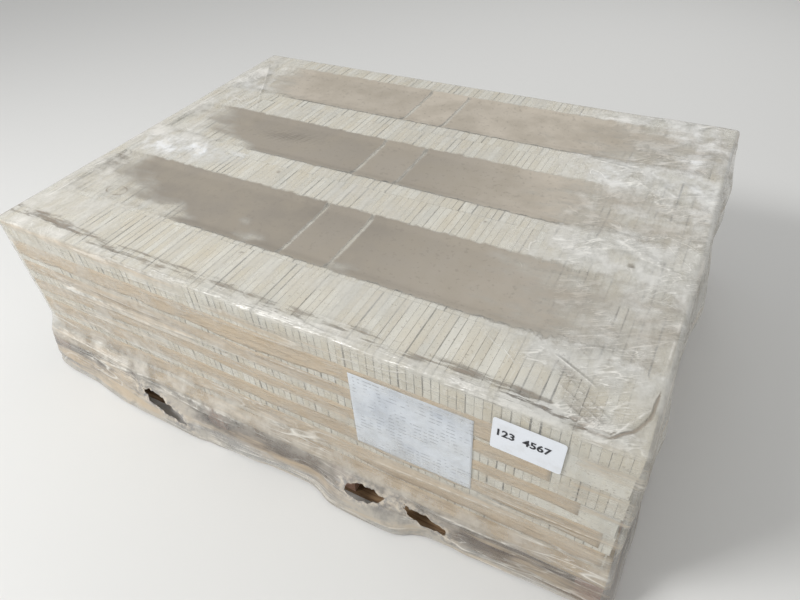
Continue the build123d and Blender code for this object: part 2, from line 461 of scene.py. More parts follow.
@dataclass(frozen=True)
class FiredClay(Finish):
    """Cream fired clay with a sandy face, a tone for each brick, and grime with painted shade at the open joints."""

    name: str = "fired_clay"
    body: Colour = srgb(208, 205, 193)
    pale: Colour = srgb(228, 226, 218)
    warm: Colour = srgb(200, 188, 163)
    cool: Colour = srgb(172, 176, 174)
    # Grime and painted shade of the joints.
    joint_grime_and_shade: Colour = srgb(104, 103, 100)
    speck: Colour = srgb(120, 106, 88)
    grit_depth: float = 0.0006

    def dress(self, nodes: Nodes, shader: bpy.types.Node, effects: Effects) -> None:
        """Mixes the clay's tones by brick and by blotch, then specks, and arrises darkened by grime and painted shade.
        """
        place = nodes.place()
        tone = nodes.attribute("brick_tone")
        clay = nodes.mix(nodes.ramp(tone, 0.1, 0.9), self.warm, self.pale)
        clay = nodes.mix(0.62, clay, self.body)
        streaky = nodes.stretch(place, (3.2, 1.0, 1.0))
        blotch = nodes.use(effects.soiling, place=streaky, scale=9.0, amount=0.56)
        clay = nodes.mix(nodes.math("MULTIPLY", blotch.outputs["Mask"], 0.6), clay, self.warm)
        damp = nodes.use(effects.soiling, place=streaky, scale=5.3, amount=0.50)
        clay = nodes.mix(nodes.math("MULTIPLY", damp.outputs["Mask"], 0.55), clay, self.cool)
        chalk = nodes.ramp(nodes.noise(nodes.stretch(place, (5.0, 1.0, 1.6)), 22.0, 5.0, 0.65), 0.52, 0.70)
        clay = nodes.mix(nodes.math("MULTIPLY", chalk, 0.55), clay, self.pale)
        grit = nodes.use(effects.grit, place=place, scale=620.0, speck_share=0.62)
        clay = nodes.mix(nodes.math("MULTIPLY", grit.outputs["Specks"], 0.5), clay, self.speck)
        # Arrises darkened as grime and as painted shade in the joints, most beside open joints.
        broken = nodes.ramp(nodes.noise(place, 19.0, 4.0), 0.36, 0.60, 0.30, 1.0)
        worn = nodes.math("MULTIPLY", nodes.attribute("arris"), broken)
        clay = nodes.mix(worn, clay, self.joint_grime_and_shade)
        nodes.put(clay, shader.inputs["Base Color"])
        nodes.put(nodes.ramp(grit.outputs["Height"], 0.2, 0.8, 0.72, 0.9), shader.inputs["Roughness"])
        nodes.put(nodes.bump(grit.outputs["Height"], self.grit_depth), shader.inputs["Normal"])


@dataclass(frozen=True)
class Kraft(Finish):
    """Brown kraft paper with fibres, damp clouds and soft wrinkles."""

    name: str = "kraft_paper"
    base: Colour = srgb(186, 165, 136)
    light: Colour = srgb(204, 187, 160)
    damp: Colour = srgb(160, 138, 110)
    wrinkle_depth: float = 0.003

    def dress(self, nodes: Nodes, shader: bpy.types.Node, effects: Effects) -> None:
        """Feeds fibre noise stretched along X, clouds and a crumple bump."""
        place = nodes.place()
        fibres = nodes.noise(nodes.stretch(place, (1.0, 1.0, 7.0)), 160.0, 5.0, 0.7)
        colour = nodes.mix(nodes.ramp(fibres, 0.35, 0.7), self.base, self.light)
        damp = nodes.use(effects.soiling, place=nodes.stretch(place, (0.7, 1.0, 2.6)), scale=5.0, amount=0.5)
        colour = nodes.mix(nodes.math("MULTIPLY", damp.outputs["Mask"], 0.7), colour, self.damp)
        nodes.put(colour, shader.inputs["Base Color"])
        shader.inputs["Roughness"].default_value = 0.78
        crumple = nodes.use(effects.crumple, place=nodes.stretch(place, (0.5, 1.0, 2.2)), scale=14.0, width=0.12)
        nodes.put(nodes.bump(crumple.outputs["Height"], self.wrinkle_depth), shader.inputs["Normal"])


@dataclass(frozen=True)
class SawnWood(Finish):
    """Rough sawn softwood: grain along one axis, rings, saw marks, knots and weather."""

    name: str = "sawn_wood"
    along: tuple[float, float, float] = (1.0, 14.0, 14.0)
    early: Colour = srgb(200, 180, 148)
    late: Colour = srgb(166, 142, 110)
    knot: Colour = srgb(104, 76, 52)
    weathered: Colour = srgb(158, 148, 132)
    grain_depth: float = 0.0012

    def dress(self, nodes: Nodes, shader: bpy.types.Node, effects: Effects) -> None:
        """Feeds warped grain, knots from stretched cells, grey weathering and saw marks."""
        place = nodes.place()
        run = nodes.stretch(place, self.along)
        grain = nodes.noise(run, 9.0, 6.0, 0.62, 0.8)
        fine = nodes.noise(run, 46.0, 4.0, 0.6)
        colour = nodes.mix(nodes.ramp(grain, 0.38, 0.66), self.early, self.late)
        colour = nodes.mix(nodes.ramp(fine, 0.45, 0.75, 0.0, 0.45), colour, self.late)
        cells = nodes.add("ShaderNodeTexVoronoi", feature="F1")
        nodes.put(nodes.stretch(place, tuple(0.42 if a < 2.0 else 0.8 for a in self.along)), cells.inputs["Vector"])
        cells.inputs["Scale"].default_value = 7.0
        knots = nodes.ramp(cells.outputs["Distance"], 0.07, 0.13, 1.0, 0.0)
        colour = nodes.mix(nodes.math("MULTIPLY", knots, 0.85), colour, self.knot)
        grey = nodes.use(effects.soiling, place=place, scale=5.0, amount=0.5)
        colour = nodes.mix(nodes.math("MULTIPLY", grey.outputs["Mask"], 0.5), colour, self.weathered)
        nodes.put(colour, shader.inputs["Base Color"])
        shader.inputs["Roughness"].default_value = 0.82
        height = nodes.math("ADD", nodes.math("MULTIPLY", fine, 0.7), nodes.math("MULTIPLY", grain, 0.5))
        nodes.put(nodes.bump(height, self.grain_depth), shader.inputs["Normal"])


@dataclass(frozen=True)
class ClearFilm(Finish):
    """Clear film: nearly see-through, with painted highlights on its creases and dried silt in the low bands.

    The mesh's attributes give the distance inside a silt band and to the lines kept clean, how
    far the silt covers, the haze with its painted sheen, the crests of the folds, the painted shade
    over the pallet's void, the mud and the distance to a tear. The nodes break them up with noise
    and turn them into crisp masks. The signed distances to the nearest fold and to the mud lines
    give crisp lines at any slant.
    """

    name: str = "clear_film"
    clear: Colour = srgb(222, 221, 214)
    milky_and_highlight: Colour = srgb(224, 221, 213)
    grey: Colour = srgb(200, 199, 193)
    # Painted shade of the film's lower skirt.
    skirt: Colour = srgb(180, 173, 161)
    silt_dark: Colour = srgb(133, 126, 116)
    silt: Colour = srgb(158, 149, 134)
    silt_pale: Colour = srgb(192, 183, 169)
    # Painted shade: the dark inside of the pallet behind the film, and the shaded crumples of the tear rims.
    painted_shade: Colour = srgb(142, 140, 138)
    # Colour of the painted reflection.
    glare: Colour = srgb(238, 241, 244)
    mud: Colour = srgb(126, 111, 96)
    rim: Colour = srgb(208, 198, 182)
    stain: Colour = srgb(194, 173, 143)
    ragged: float = 0.014
    crease_depth: float = 0.003
    clear_alpha: float = 0.10
    ring_centre: tuple[float, float, float] = (-0.71, -0.407, 0.584)
    ring_radius: float = 0.038
    ring_squeeze: float = 1.6

    def broken(self, nodes: Nodes, value: object, place: object, scale: float, reach: float) -> bpy.types.NodeSocket:
        """A distance made ragged by noise of a given reach in metres."""
        stray = nodes.math("SUBTRACT", nodes.noise(place, scale, 5.0, 0.68), 0.5)
        return nodes.math("ADD", value, nodes.math("MULTIPLY", stray, reach * 2.0))

    def silt_mask(self, nodes: Nodes, place: object) -> bpy.types.NodeSocket:
        """Silt inside its bands, thin over the clean lines, fading where its cover fades."""
        inside = nodes.ramp(self.broken(nodes, nodes.attribute("silt"), place, 34.0, self.ragged), -0.004, 0.007)
        line = nodes.ramp(self.broken(nodes, nodes.attribute("clean_line"), place, 46.0, 0.007), -0.001, 0.005)
        kept = nodes.math("ADD", nodes.math("MULTIPLY", line, 0.62), 0.38)
        stray = nodes.math("SUBTRACT", nodes.noise(nodes.stretch(place, (0.6, 1.5, 1.0)), 12.0, 7.0, 0.66), 0.5)
        cover = nodes.ramp(nodes.math("ADD", nodes.attribute("silt_cover"), nodes.math("MULTIPLY", stray, 1.7)), -0.10, 1.0)
        return nodes.math("MULTIPLY", nodes.math("MULTIPLY", inside, kept), cover)

    def line(
        self, nodes: Nodes, name: str, place: object, scale: float, stray: float, width: float
    ) -> bpy.types.NodeSocket:
        """A line where a signed distance on the mesh, made unsteady by noise, is near nothing.

        Args:
            nodes: The material's tree.
            name: The distance's attribute, in shares of the line's reach.
            place: Object coordinates.
            scale: Scale of the noise.
            stray: How far the noise moves the line, in shares of the reach.
            width: Half the width of the line, in shares of the reach.

        Returns:
            1 on the line and 0 off it, times the line's strength there.
        """
        moved = nodes.math("MULTIPLY", nodes.math("SUBTRACT", nodes.noise(place, scale, 4.0, 0.6), 0.5), stray * 2.0)
        away = nodes.math("ABSOLUTE", nodes.math("ADD", nodes.attribute(name + "_off"), moved))
        return nodes.math("MULTIPLY", nodes.ramp(away, 0.0, width, 1.0, 0.0), nodes.attribute(name + "_strength"))

    def mud_mask(self, nodes: Nodes, place: object) -> bpy.types.NodeSocket:
        """Brown mud where the mud value and the mud lines beat a fine noise, one faint drying ring, and the corner
        lines, whose curve is mud and whose valleys are painted shade.
        """
        run = self.line(nodes, "mud", nodes.stretch(place, (0.35, 1.0, 1.0)), 8.0, 0.60, 0.95)
        streak = nodes.noise(nodes.stretch(place, (0.16, 1.5, 1.0)), 60.0, 4.0, 0.62)
        run = nodes.math("MULTIPLY", run, nodes.ramp(streak, 0.38, 0.60, 0.25, 1.05))
        value = nodes.math("MAXIMUM", nodes.attribute("mud"), run)
        stray = nodes.math("SUBTRACT", nodes.noise(nodes.stretch(place, (0.35, 1.5, 1.0)), 34.0, 7.0, 0.76), 0.5)
        blot = nodes.ramp(nodes.math("ADD", value, nodes.math("MULTIPLY", stray, 2.2)), 0.42, 1.15)
        away = nodes.add("ShaderNodeVectorMath", operation="DISTANCE")
        nodes.put(nodes.stretch(place, (1.0, self.ring_squeeze, 1.0)), away.inputs[0])
        centre = self.ring_centre
        away.inputs[1].default_value = (centre[0], centre[1] * self.ring_squeeze, centre[2])
        off = nodes.math("ABSOLUTE", nodes.math("SUBTRACT", away.outputs["Value"], self.ring_radius))
        ring = nodes.ramp(off, 0.0010, 0.0045, 0.95, 0.0)
        gaps = nodes.ramp(nodes.noise(place, 30.0, 2.0), 0.36, 0.56, 0.25, 1.0)
        # Corner lines: mud on the curve, painted shade in the valleys of the fan.
        rut = self.line(nodes, "rut", place, 24.0, 0.10, 0.22)
        return nodes.math("MAXIMUM", nodes.math("MAXIMUM", blot, rut), nodes.math("MULTIPLY", ring, gaps))

    def crests(self, nodes: Nodes, place: object, effects: Effects) -> tuple:
        """Fine creases whitened as painted highlights: sparse crumples on the top and long level ones on the walls.

        Args:
            nodes: The material's tree.
            place: Object coordinates.
            effects: The shared node groups.

        Returns:
            The painted highlights of the crests and the height for the bump.
        """
        wall = nodes.attribute("wall")
        flat = nodes.math("SUBTRACT", 1.0, wall)
        crumple = nodes.use(effects.crumple, place=nodes.stretch(place, (0.45, 1.3, 1.0), 0.6), scale=13.0, width=0.014)
        level = nodes.use(effects.crumple, place=nodes.stretch(place, (0.10, 0.10, 1.0)), scale=26.0, width=0.020)
        fan = nodes.use(effects.crumple, place=nodes.stretch(place, (0.26, 1.6, 1.0), -0.49), scale=34.0, width=0.030)
        near = nodes.math("MULTIPLY", nodes.ramp(nodes.noise(place, 9.0, 3.0), 0.44, 0.60), nodes.attribute("loose"))
        here = nodes.ramp(nodes.noise(place, 6.5, 3.0), 0.52, 0.70)
        there = nodes.ramp(nodes.noise(nodes.stretch(place, (0.35, 0.35, 1.6)), 6.0, 3.0), 0.50, 0.66)
        on_top = nodes.math("MULTIPLY", nodes.math("MULTIPLY", crumple.outputs["Crests"], here), flat)
        on_wall = nodes.math("MULTIPLY", nodes.math("MULTIPLY", level.outputs["Crests"], there), wall)
        on_top = nodes.math("MAXIMUM", on_top, nodes.math("MULTIPLY", fan.outputs["Crests"], near))
        # Painted highlights on the crests of the crumples, the level creases and the fan.
        white = nodes.math("MULTIPLY", nodes.math("ADD", on_top, on_wall), nodes.attribute("crest_highlight_share"))
        fine = nodes.ramp(nodes.noise(place, 55.0, 3.0), 0.35, 0.6, 0.15, 1.0)
        # Fold lines and strands along the top front edge, whitened as painted highlights.
        rise = self.line(nodes, "fold", place, 12.0, 0.10, 0.62)
        line = self.line(nodes, "fold", place, 12.0, 0.10, 0.20)
        highlight_strand = nodes.noise(nodes.stretch(place, (0.10, 1.0, 1.0)), 46.0, 4.0, 0.6)
        highlight_strand = nodes.math("MULTIPLY", nodes.ramp(highlight_strand, 0.50, 0.62), nodes.attribute("edge"))
        drawn_highlight = nodes.math("MAXIMUM", nodes.math("MULTIPLY", line, 0.8), nodes.math("MULTIPLY", highlight_strand, 0.75))
        white = nodes.math("ADD", white, nodes.math("MULTIPLY", drawn_highlight, fine), clamp=True)
        height = nodes.math(
            "ADD",
            nodes.math("MULTIPLY", nodes.noise(place, 14.0, 3.0), nodes.math("ADD", flat, nodes.attribute("loose"))),
            nodes.math("MULTIPLY", nodes.noise(nodes.stretch(place, (0.12, 0.12, 1.0)), 30.0, 2.0), wall),
        )
        height = nodes.math("ADD", height, nodes.math("MULTIPLY", rise, 1.1))
        height = nodes.math("ADD", height, nodes.math("MULTIPLY", highlight_strand, 0.5))
        return white, nodes.math("ADD", height, nodes.math("MULTIPLY", white, 0.2))

    def dress(self, nodes: Nodes, shader: bpy.types.Node, effects: Effects) -> None:
        """Builds the masks, then the colour, alpha, roughness and bump from them."""
        place = nodes.place()
        white, height = self.crests(nodes, place, effects)
        silt = self.silt_mask(nodes, place)
        mud = self.mud_mask(nodes, place)
        wall = nodes.attribute("wall")
        cloud = nodes.ramp(nodes.noise(nodes.stretch(place, (1.5, 1.0, 1.6)), 11.0, 6.0, 0.64), 0.30, 0.72, 0.35, 1.5)
        # Haze of the film, with painted sheen at the edges and on the front wall.
        haze_and_sheen = nodes.math("MULTIPLY", nodes.attribute("haze_and_sheen"), cloud, clamp=True)
        torn = self.broken(nodes, nodes.attribute("tear"), place, 34.0, 0.013)
        rim = nodes.ramp(torn, 0.002, 0.022, 0.90, 0.0)
        streak = nodes.noise(nodes.stretch(place, (0.22, 0.22, 2.4)), 10.0, 5.0, 0.62)
        stain = nodes.math("MULTIPLY", nodes.ramp(streak, 0.47, 0.68), nodes.attribute("stained"))
        tone = nodes.mix(nodes.attribute("silt_tone"), self.silt_dark, self.silt_pale)
        tone = nodes.mix(nodes.ramp(nodes.noise(place, 9.0, 6.0, 0.62), 0.35, 0.7, 0.0, 0.55), tone, self.silt)
        grit = nodes.use(effects.grit, place=place, scale=380.0, speck_share=0.6)
        tone = nodes.mix(nodes.math("MULTIPLY", grit.outputs["Specks"], 0.35), tone, self.silt_dark)
        # Painted shade where the film hangs over the pallet's void.
        colour = nodes.mix(nodes.attribute("painted_shade"), self.clear, self.painted_shade)
        cloudy = nodes.mix(nodes.attribute("loose"), self.milky_and_highlight, self.grey)
        # The lower skirt takes a darker colour as painted shade.
        cloudy = nodes.mix(nodes.attribute("shade"), cloudy, self.skirt)
        # Painted reflection: a bluish white glare on the film, broken up by noise.
        glare_breakup = nodes.noise(nodes.stretch(place, (0.5, 1.4, 1.0), 0.35), 26.0, 6.0, 0.68)
        glare = nodes.math("MULTIPLY", nodes.attribute("glare"), nodes.ramp(glare_breakup, 0.32, 0.60, 0.15, 1.0))
        colour = nodes.mix(haze_and_sheen, colour, nodes.mix(glare, cloudy, self.glare))
        colour = nodes.mix(nodes.math("MULTIPLY", stain, 0.7), colour, self.stain)
        # Painted highlights on the crests, the fold lines and the edge strands.
        colour = nodes.mix(white, colour, self.milky_and_highlight)
        # Tear rims: the rolled edge of the film, with painted shade in its crushed parts.
        crushed = nodes.ramp(nodes.noise(place, 60.0, 5.0, 0.7), 0.38, 0.62)
        colour = nodes.mix(rim, colour, nodes.mix(crushed, self.painted_shade, self.rim))
        colour = nodes.mix(silt, colour, tone)
        # The mud colour also paints the shade in the valleys of the fan.
        colour = nodes.mix(nodes.math("MULTIPLY", mud, 0.85), colour, self.mud)
        nodes.put(colour, shader.inputs["Base Color"])
        alpha = nodes.math("ADD", nodes.math("MULTIPLY", haze_and_sheen, 0.85), self.clear_alpha)
        # The painted shade over the void also makes the film more opaque there.
        alpha = nodes.math("ADD", alpha, nodes.math("MULTIPLY", nodes.attribute("painted_shade"), 0.24))
        alpha = nodes.math("ADD", alpha, nodes.math("MULTIPLY", stain, 0.42))
        # The painted highlights also make the film more opaque.
        alpha = nodes.math("ADD", alpha, nodes.math("MULTIPLY", white, 0.62))
        for cover, strength in ((silt, 0.96), (mud, 0.78), (rim, 0.95), (glare, 0.80)):
            alpha = nodes.math("MAXIMUM", alpha, nodes.math("MULTIPLY", cover, strength))
        whole = nodes.ramp(torn, -0.0005, 0.0005)
        nodes.put(nodes.math("MULTIPLY", nodes.math("MINIMUM", alpha, 1.0), whole), shader.inputs["Alpha"])
        matt = nodes.math("MAXIMUM", silt, mud)
        nodes.put(nodes.ramp(matt, 0.0, 1.0, 0.22, 0.82), shader.inputs["Roughness"])
        shader.inputs["IOR"].default_value = 1.5
        shader.inputs["Specular IOR Level"].default_value = 0.7
        wave = nodes.add("ShaderNodeTexWave", wave_type="BANDS", bands_direction="X")
        nodes.put(nodes.stretch(place, (1.0, 1.0, 1.0), 0.55), wave.inputs["Vector"])
        wave.inputs["Scale"].default_value = 14.0
        wave.inputs["Distortion"].default_value = 3.0
        wave.inputs["Detail"].default_value = 1.0
        ripple = nodes.math("MULTIPLY", nodes.math("MULTIPLY", wave.outputs["Fac"], nodes.attribute("ripple")), 2.8)
        bumped = nodes.math("MULTIPLY", height, nodes.ramp(matt, 0.0, 1.0, 1.0, 0.12))
        nodes.put(nodes.bump(nodes.math("ADD", bumped, ripple), self.crease_depth), shader.inputs["Normal"])


@dataclass(frozen=True)
class PrintedPaper(Finish):
    """White office paper under the film: crumpled, with faint grey rules where a form is printed."""

    name: str = "printed_paper"
    paper: Colour = srgb(222, 228, 236)
    shade: Colour = srgb(188, 196, 208)
    ink: Colour = srgb(120, 126, 138)
    rule_pitch: float = 0.0125
    wrinkle_depth: float = 0.0016

    def dress(self, nodes: Nodes, shader: bpy.types.Node, effects: Effects) -> None:
        """Feeds broken rules from the height, soft clouds and a crumple bump."""
        place = nodes.place()
        split = nodes.add("ShaderNodeSeparateXYZ")
        nodes.put(place, split.inputs[0])
        level = nodes.math("FRACT", nodes.math("DIVIDE", split.outputs["Z"], self.rule_pitch))
        rule = nodes.math("MULTIPLY", nodes.ramp(level, 0.60, 0.68), nodes.ramp(level, 0.84, 0.92, 1.0, 0.0))
        words = nodes.ramp(nodes.noise(nodes.stretch(place, (1.0, 1.0, 0.2)), 95.0, 1.0), 0.47, 0.55)
        fields = nodes.ramp(nodes.noise(nodes.stretch(place, (1.0, 1.0, 2.2)), 9.0, 1.0), 0.44, 0.5)
        ink = nodes.math("MULTIPLY", nodes.math("MULTIPLY", rule, words), fields)
        crumple = nodes.use(effects.crumple, place=place, scale=7.0, width=0.1)
        colour = nodes.mix(nodes.ramp(nodes.noise(place, 9.0, 5.0), 0.4, 0.75), self.paper, self.shade)
        colour = nodes.mix(nodes.math("MULTIPLY", ink, 0.6), colour, self.ink)
        nodes.put(colour, shader.inputs["Base Color"])
        shader.inputs["Roughness"].default_value = 0.6
        nodes.put(nodes.bump(crumple.outputs["Height"], self.wrinkle_depth), shader.inputs["Normal"])


@dataclass(frozen=True)
class LabelStock(Finish):
    """Satin white label stock with a faint grain and dust."""

    name: str = "label_stock"
    white: Colour = srgb(232, 236, 242)
    dust: Colour = srgb(206, 206, 204)

    def dress(self, nodes: Nodes, shader: bpy.types.Node, effects: Effects) -> None:
        """Feeds a dusty white and a very fine bump."""
        place = nodes.place()
        dusty = nodes.use(effects.soiling, place=place, scale=30.0, amount=0.5)
        nodes.put(nodes.mix(nodes.math("MULTIPLY", dusty.outputs["Mask"], 0.5), self.white, self.dust),
                  shader.inputs["Base Color"])
        grit = nodes.use(effects.grit, place=place, scale=1500.0, speck_share=0.8)
        nodes.put(nodes.ramp(grit.outputs["Height"], 0.3, 0.7, 0.32, 0.45), shader.inputs["Roughness"])
        nodes.put(nodes.bump(grit.outputs["Height"], 0.0001), shader.inputs["Normal"])


@dataclass(frozen=True)
class Ink(Finish):
    """Black label ink, a little worn."""

    name: str = "label_ink"
    ink: Colour = srgb(28, 28, 34)
    worn: Colour = srgb(80, 80, 86)

    def dress(self, nodes: Nodes, shader: bpy.types.Node, effects: Effects) -> None:
        """Feeds a slightly broken black."""
        grit = nodes.use(effects.grit, place=nodes.place(), scale=1400.0, speck_share=0.6)
        nodes.put(nodes.mix(nodes.math("MULTIPLY", grit.outputs["Specks"], 0.6), self.ink, self.worn),
                  shader.inputs["Base Color"])
        shader.inputs["Roughness"].default_value = 0.5


@dataclass(frozen=True)
class PaleFloor(Finish):
    """Plain pale floor."""

    name: str = "pale_floor"
    colour: Colour = srgb(222, 222, 220)

    def dress(self, nodes: Nodes, shader: bpy.types.Node, effects: Effects) -> None:
        """Feeds a plain colour."""
        shader.inputs["Base Color"].default_value = self.colour
        shader.inputs["Roughness"].default_value = 0.9


# Sub-assemblies


@dataclass(frozen=True)
class Stack:
    """Outline of the bricks, the pallet and the film, read from the frame's own nodes."""

    half_length: float
    half_depth: float
    bottom: float
    top: float
    pallet_half_length: float
    pallet_half_depth: float

    @classmethod
    def from_frame(cls) -> "Stack":
        """Reads the sizes from the top and bottom courses, a deck board and a stringer."""
        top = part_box("brick_course_6")
        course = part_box("brick_course_1")
        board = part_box("deck_board_1")
        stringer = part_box("stringer_1")
        return cls(top[1].x, top[1].y, course[0].z, top[1].z, board[1].x, stringer[1].y)


@dataclass
class Laying:
    """Bricks in plan: their corners, the axis across their thickness, and how far the joints gape."""

    low: Array
    high: Array
    across: Array
    gape: Array

    @classmethod
    def together(cls, parts: Sequence["Laying"]) -> "Laying":
        """Several layings as one."""
        return cls(*(np.concatenate([getattr(part, name) for part in parts]) for name in cls.__annotations__))

    def picked(self, which: Array, low: Array, high: Array) -> "Laying":
        """The bricks that a mask picks, with new corners."""
        return Laying(low[which], high[which], self.across[which], self.gape[which])


@dataclass
class BrickCourses:
    """Six courses of thin bricks on edge. Every second course has turned blocks at its corners.

    Most bricks touch their neighbours and a few joints stand open, as in a row that has been pushed
    together: the joint widths of a row are random shares of the room that the row has.
    """

    stack: Stack
    thickness: float = 0.01905
    length: float = 0.1905
    pitch: float = 0.0195
    row_pitch: float = 0.1912
    per_row: int = 94
    rows: int = 7
    bevel: float = 0.0007
    arris: float = 0.0006
    open_arris: float = 0.0010
    jitter: float = 0.0012
    lift: float = 0.0006
    open_joint: float = 0.0013
    unevenness: float = 1.5
    widest: float = 6.0
    band_depth: float = 0.009
    bands: tuple[tuple[float, float], ...] = ((-0.4624, -0.2100), (-0.0455, 0.1858), (0.3368, 0.5893))
    band_half_length: float = 0.8703
    seed: int = 41

    @property
    def turned(self) -> int:
        """Bricks in one turned block."""
        return round(self.length / self.thickness)

    @property
    def reach(self) -> float:
        """Half the length of the plain rows of a tied course."""
        return (self.per_row - 2 * self.turned) * self.pitch / 2

    def row(self, start: float, end: float, count: int, rng: np.random.Generator) -> tuple[Array, Array]:
        """Places of the bricks of one row along its length.

        Args:
            start: Where the row begins.
            end: Where it ends.
            count: Bricks in the row.
            rng: Source of the joint widths.

        Returns:
            The near side of each brick, and how far the joints before and after it gape, 0 to 1.
        """
        thickness = min(self.thickness, (end - start) / count - 0.0001)
        shares = np.minimum(rng.lognormal(0.0, self.unevenness, count - 1), self.widest)
        joints = shares / shares.sum() * (end - start - count * thickness)
        near = start + np.arange(count) * thickness + np.concatenate([[0.0], np.cumsum(joints)])
        gape = np.clip(joints / self.open_joint, 0.0, 1.0)
        return near, np.stack([np.append(0.6, gape), np.append(gape, 0.6)], axis=1)

    def rows_of(
        self, start: float, end: float, count: int, rows: Iterable[int], rng: np.random.Generator
    ) -> Laying:
        """Rows of bricks that stand side by side along X, each brick running front to back.

        Args:
            start: Left end of the rows.
            end: Right end of the rows.
            count: Bricks in each row.
            rows: The numbers of the rows, 0 being at the front.
            rng: Source of the joints and of the small misplacements.

        Returns:
            The rows' bricks.
        """
        parts = []
        for number in rows:
            near, gape = self.row(start, end, count, rng)
            front = -self.rows * self.row_pitch / 2 + number * self.row_pitch + 0.0004
            across = rng.uniform(-self.jitter, self.jitter, count) * 0.5
            low = np.stack([near, front + across], axis=1)
            high = low + np.array([min(self.thickness, (end - start) / count - 0.0001), self.length])
            parts.append(Laying(low, high, np.zeros(count, dtype=int), gape))
        return Laying.together(parts)

    def turned_block(self, side: int, end: int, rng: np.random.Generator) -> Laying:
        """A corner block whose bricks run along X and stand side by side along Y.

        Args:
            side: -1 for the left end, 1 for the right.
            end: -1 for the front, 1 for the back.
            rng: Source of the joints and of the small misplacements.

        Returns:
            The block's ten bricks.
        """
        edge = self.stack.half_depth
        start = -edge if end < 0 else edge - self.length
        near, gape = self.row(start, start + self.length, self.turned, rng)
        shift = rng.uniform(-self.jitter, self.jitter, self.turned) * 0.5
        x = (-self.reach - self.length - 0.0003 if side < 0 else self.reach + 0.0003) + shift
        low = np.stack([x, near], axis=1)
        high = low + np.array([self.length, self.length / self.turned - 0.0002])
        return Laying(low, high, np.ones(self.turned, dtype=int), gape)

    def laying(self, number: int, rng: np.random.Generator) -> Laying:
        """All the bricks of one course in plan.

        Args:
            number: The course, 1 being the lowest.
            rng: Source of the joints and of the small misplacements.

        Returns:
            The course's bricks.
        """
        if number % 2 == 0:
            half = self.stack.half_length
            return self.rows_of(-half, half, self.per_row, range(self.rows), rng)
        plain = self.per_row - 2 * self.turned
        parts = [self.rows_of(-self.reach, self.reach, plain, range(self.rows), rng)]
        for side in (-1, 1):
            parts += [self.turned_block(side, end, rng) for end in (-1, 1)]
            far, near = self.reach + self.length, self.reach
            start, end = (-far, -near) if side < 0 else (near, far)
            parts.append(self.rows_of(start, end, self.turned, range(1, self.rows - 1), rng))
        return Laying.together(parts)

    def split_at_bands(self, bricks: Laying, top: Array) -> tuple[Laying, Array]:
        """Cuts the top course's bricks at the edges of the low bands and lowers what lies inside.

        Args:
            bricks: The bricks in plan.
            top: Height of each brick's top.

        Returns:
            The cut bricks and the height of each one's top.
        """
        edges = [-1.0] + [edge for band in self.bands for edge in band] + [1.0]
        parts, tops = [], []
        for index, (front, back) in enumerate(zip(edges[:-1], edges[1:])):
            low, high = bricks.low.copy(), bricks.high.copy()
            low[:, 1] = np.maximum(low[:, 1], front)
            high[:, 1] = np.minimum(high[:, 1], back)
            keep = high[:, 1] - low[:, 1] > 4 * self.bevel
            within = np.abs(low[:, 0] + high[:, 0]) / 2 < self.band_half_length
            parts.append(bricks.picked(keep, low, high))
            tops.append((top - self.band_depth * within * (index % 2))[keep])
        return Laying.together(parts), np.concatenate(tops)

    @staticmethod
    def arris_grime_and_shade(quads: Array, triangles: Array, bricks: Laying) -> tuple[Array, Array]:
        """How dark each face is painted, as grime and as shade in the joint: bevels beside an open joint are dark, the
        others nearly clean.

        The side of a bevel across the brick's thickness picks the joint, and a bevel along the
        thickness takes a fixed share. The upright bevels, at the ends of the bricks, are all darkened.

        Args:
            quads: Quads of one bevelled box.
            triangles: Corner triangles of one bevelled box.
            bricks: The bricks.

        Returns:
            Painted grime and shade of the quads and of the triangles, brick by brick.
        """
        box = box_corners(-np.ones((1, 3)), np.ones((1, 3)), np.full((1, 3, 2), 0.25))[0]
        found = []
        for faces in (quads, triangles):
            centre = box[faces].mean(axis=1)
            side = np.where(np.abs(centre) > 0.5, np.sign(centre), 0.0).astype(int)
            is_bevel = (np.abs(side).sum(axis=1) > 1)[None, :]
            upright = (side[:, 2] == 0)[None, :]
            across = side[:, :2].T[bricks.across]
            gape = np.where(across < 0, bricks.gape[:, :1], bricks.gape[:, 1:])
            gape = np.where(upright, 0.58 + 0.38 * gape, 0.10 + 0.72 * gape)
            found.append((np.where(across != 0, gape, 0.30) * is_bevel).ravel())
        return found[0], found[1]

    def course(self, number: int) -> bpy.types.Object:
        """Builds one course as a joined mesh of bevelled bricks.

        Args:
            number: The course, 1 being the lowest.

        Returns:
            The piece, which replaces the frame's course.
        """
        rng = np.random.default_rng(self.seed + number)
        bottom, ceiling = (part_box(f"brick_course_{number}")[i].z for i in (0, 1))
        bricks = self.laying(number, rng)
        top = ceiling - rng.uniform(0.0, self.lift, len(bricks.low))
        if number == 6:
            bricks, top = self.split_at_bands(bricks, top)
        count = len(bricks.low)
        place = bricks.low[:, 0] * 913.7 + number * 3.1 + np.floor(bricks.low[:, 1] / 0.19) * 7.7
        tone = np.modf(np.abs(np.sin(place)) * 511.3)[0]
        low = np.column_stack([bricks.low, np.full(count, bottom)])
        high = np.column_stack([bricks.high, top])
        bevel = np.full((count, 3, 2), self.bevel)
        bevel[np.arange(count), bricks.across] = self.arris + self.open_arris * bricks.gape
        points = box_corners(low, high, bevel).reshape(-1, 3)
        quads, triangles = box_face_lists()
        shift = 24 * np.arange(count)
        all_quads = (quads[None] + shift[:, None, None]).reshape(-1, 4)
        corners = (triangles[None] + shift[:, None, None]).reshape(-1, 3)
        piece = self.joined(f"bricks_of_course_{number}", points, all_quads, corners)
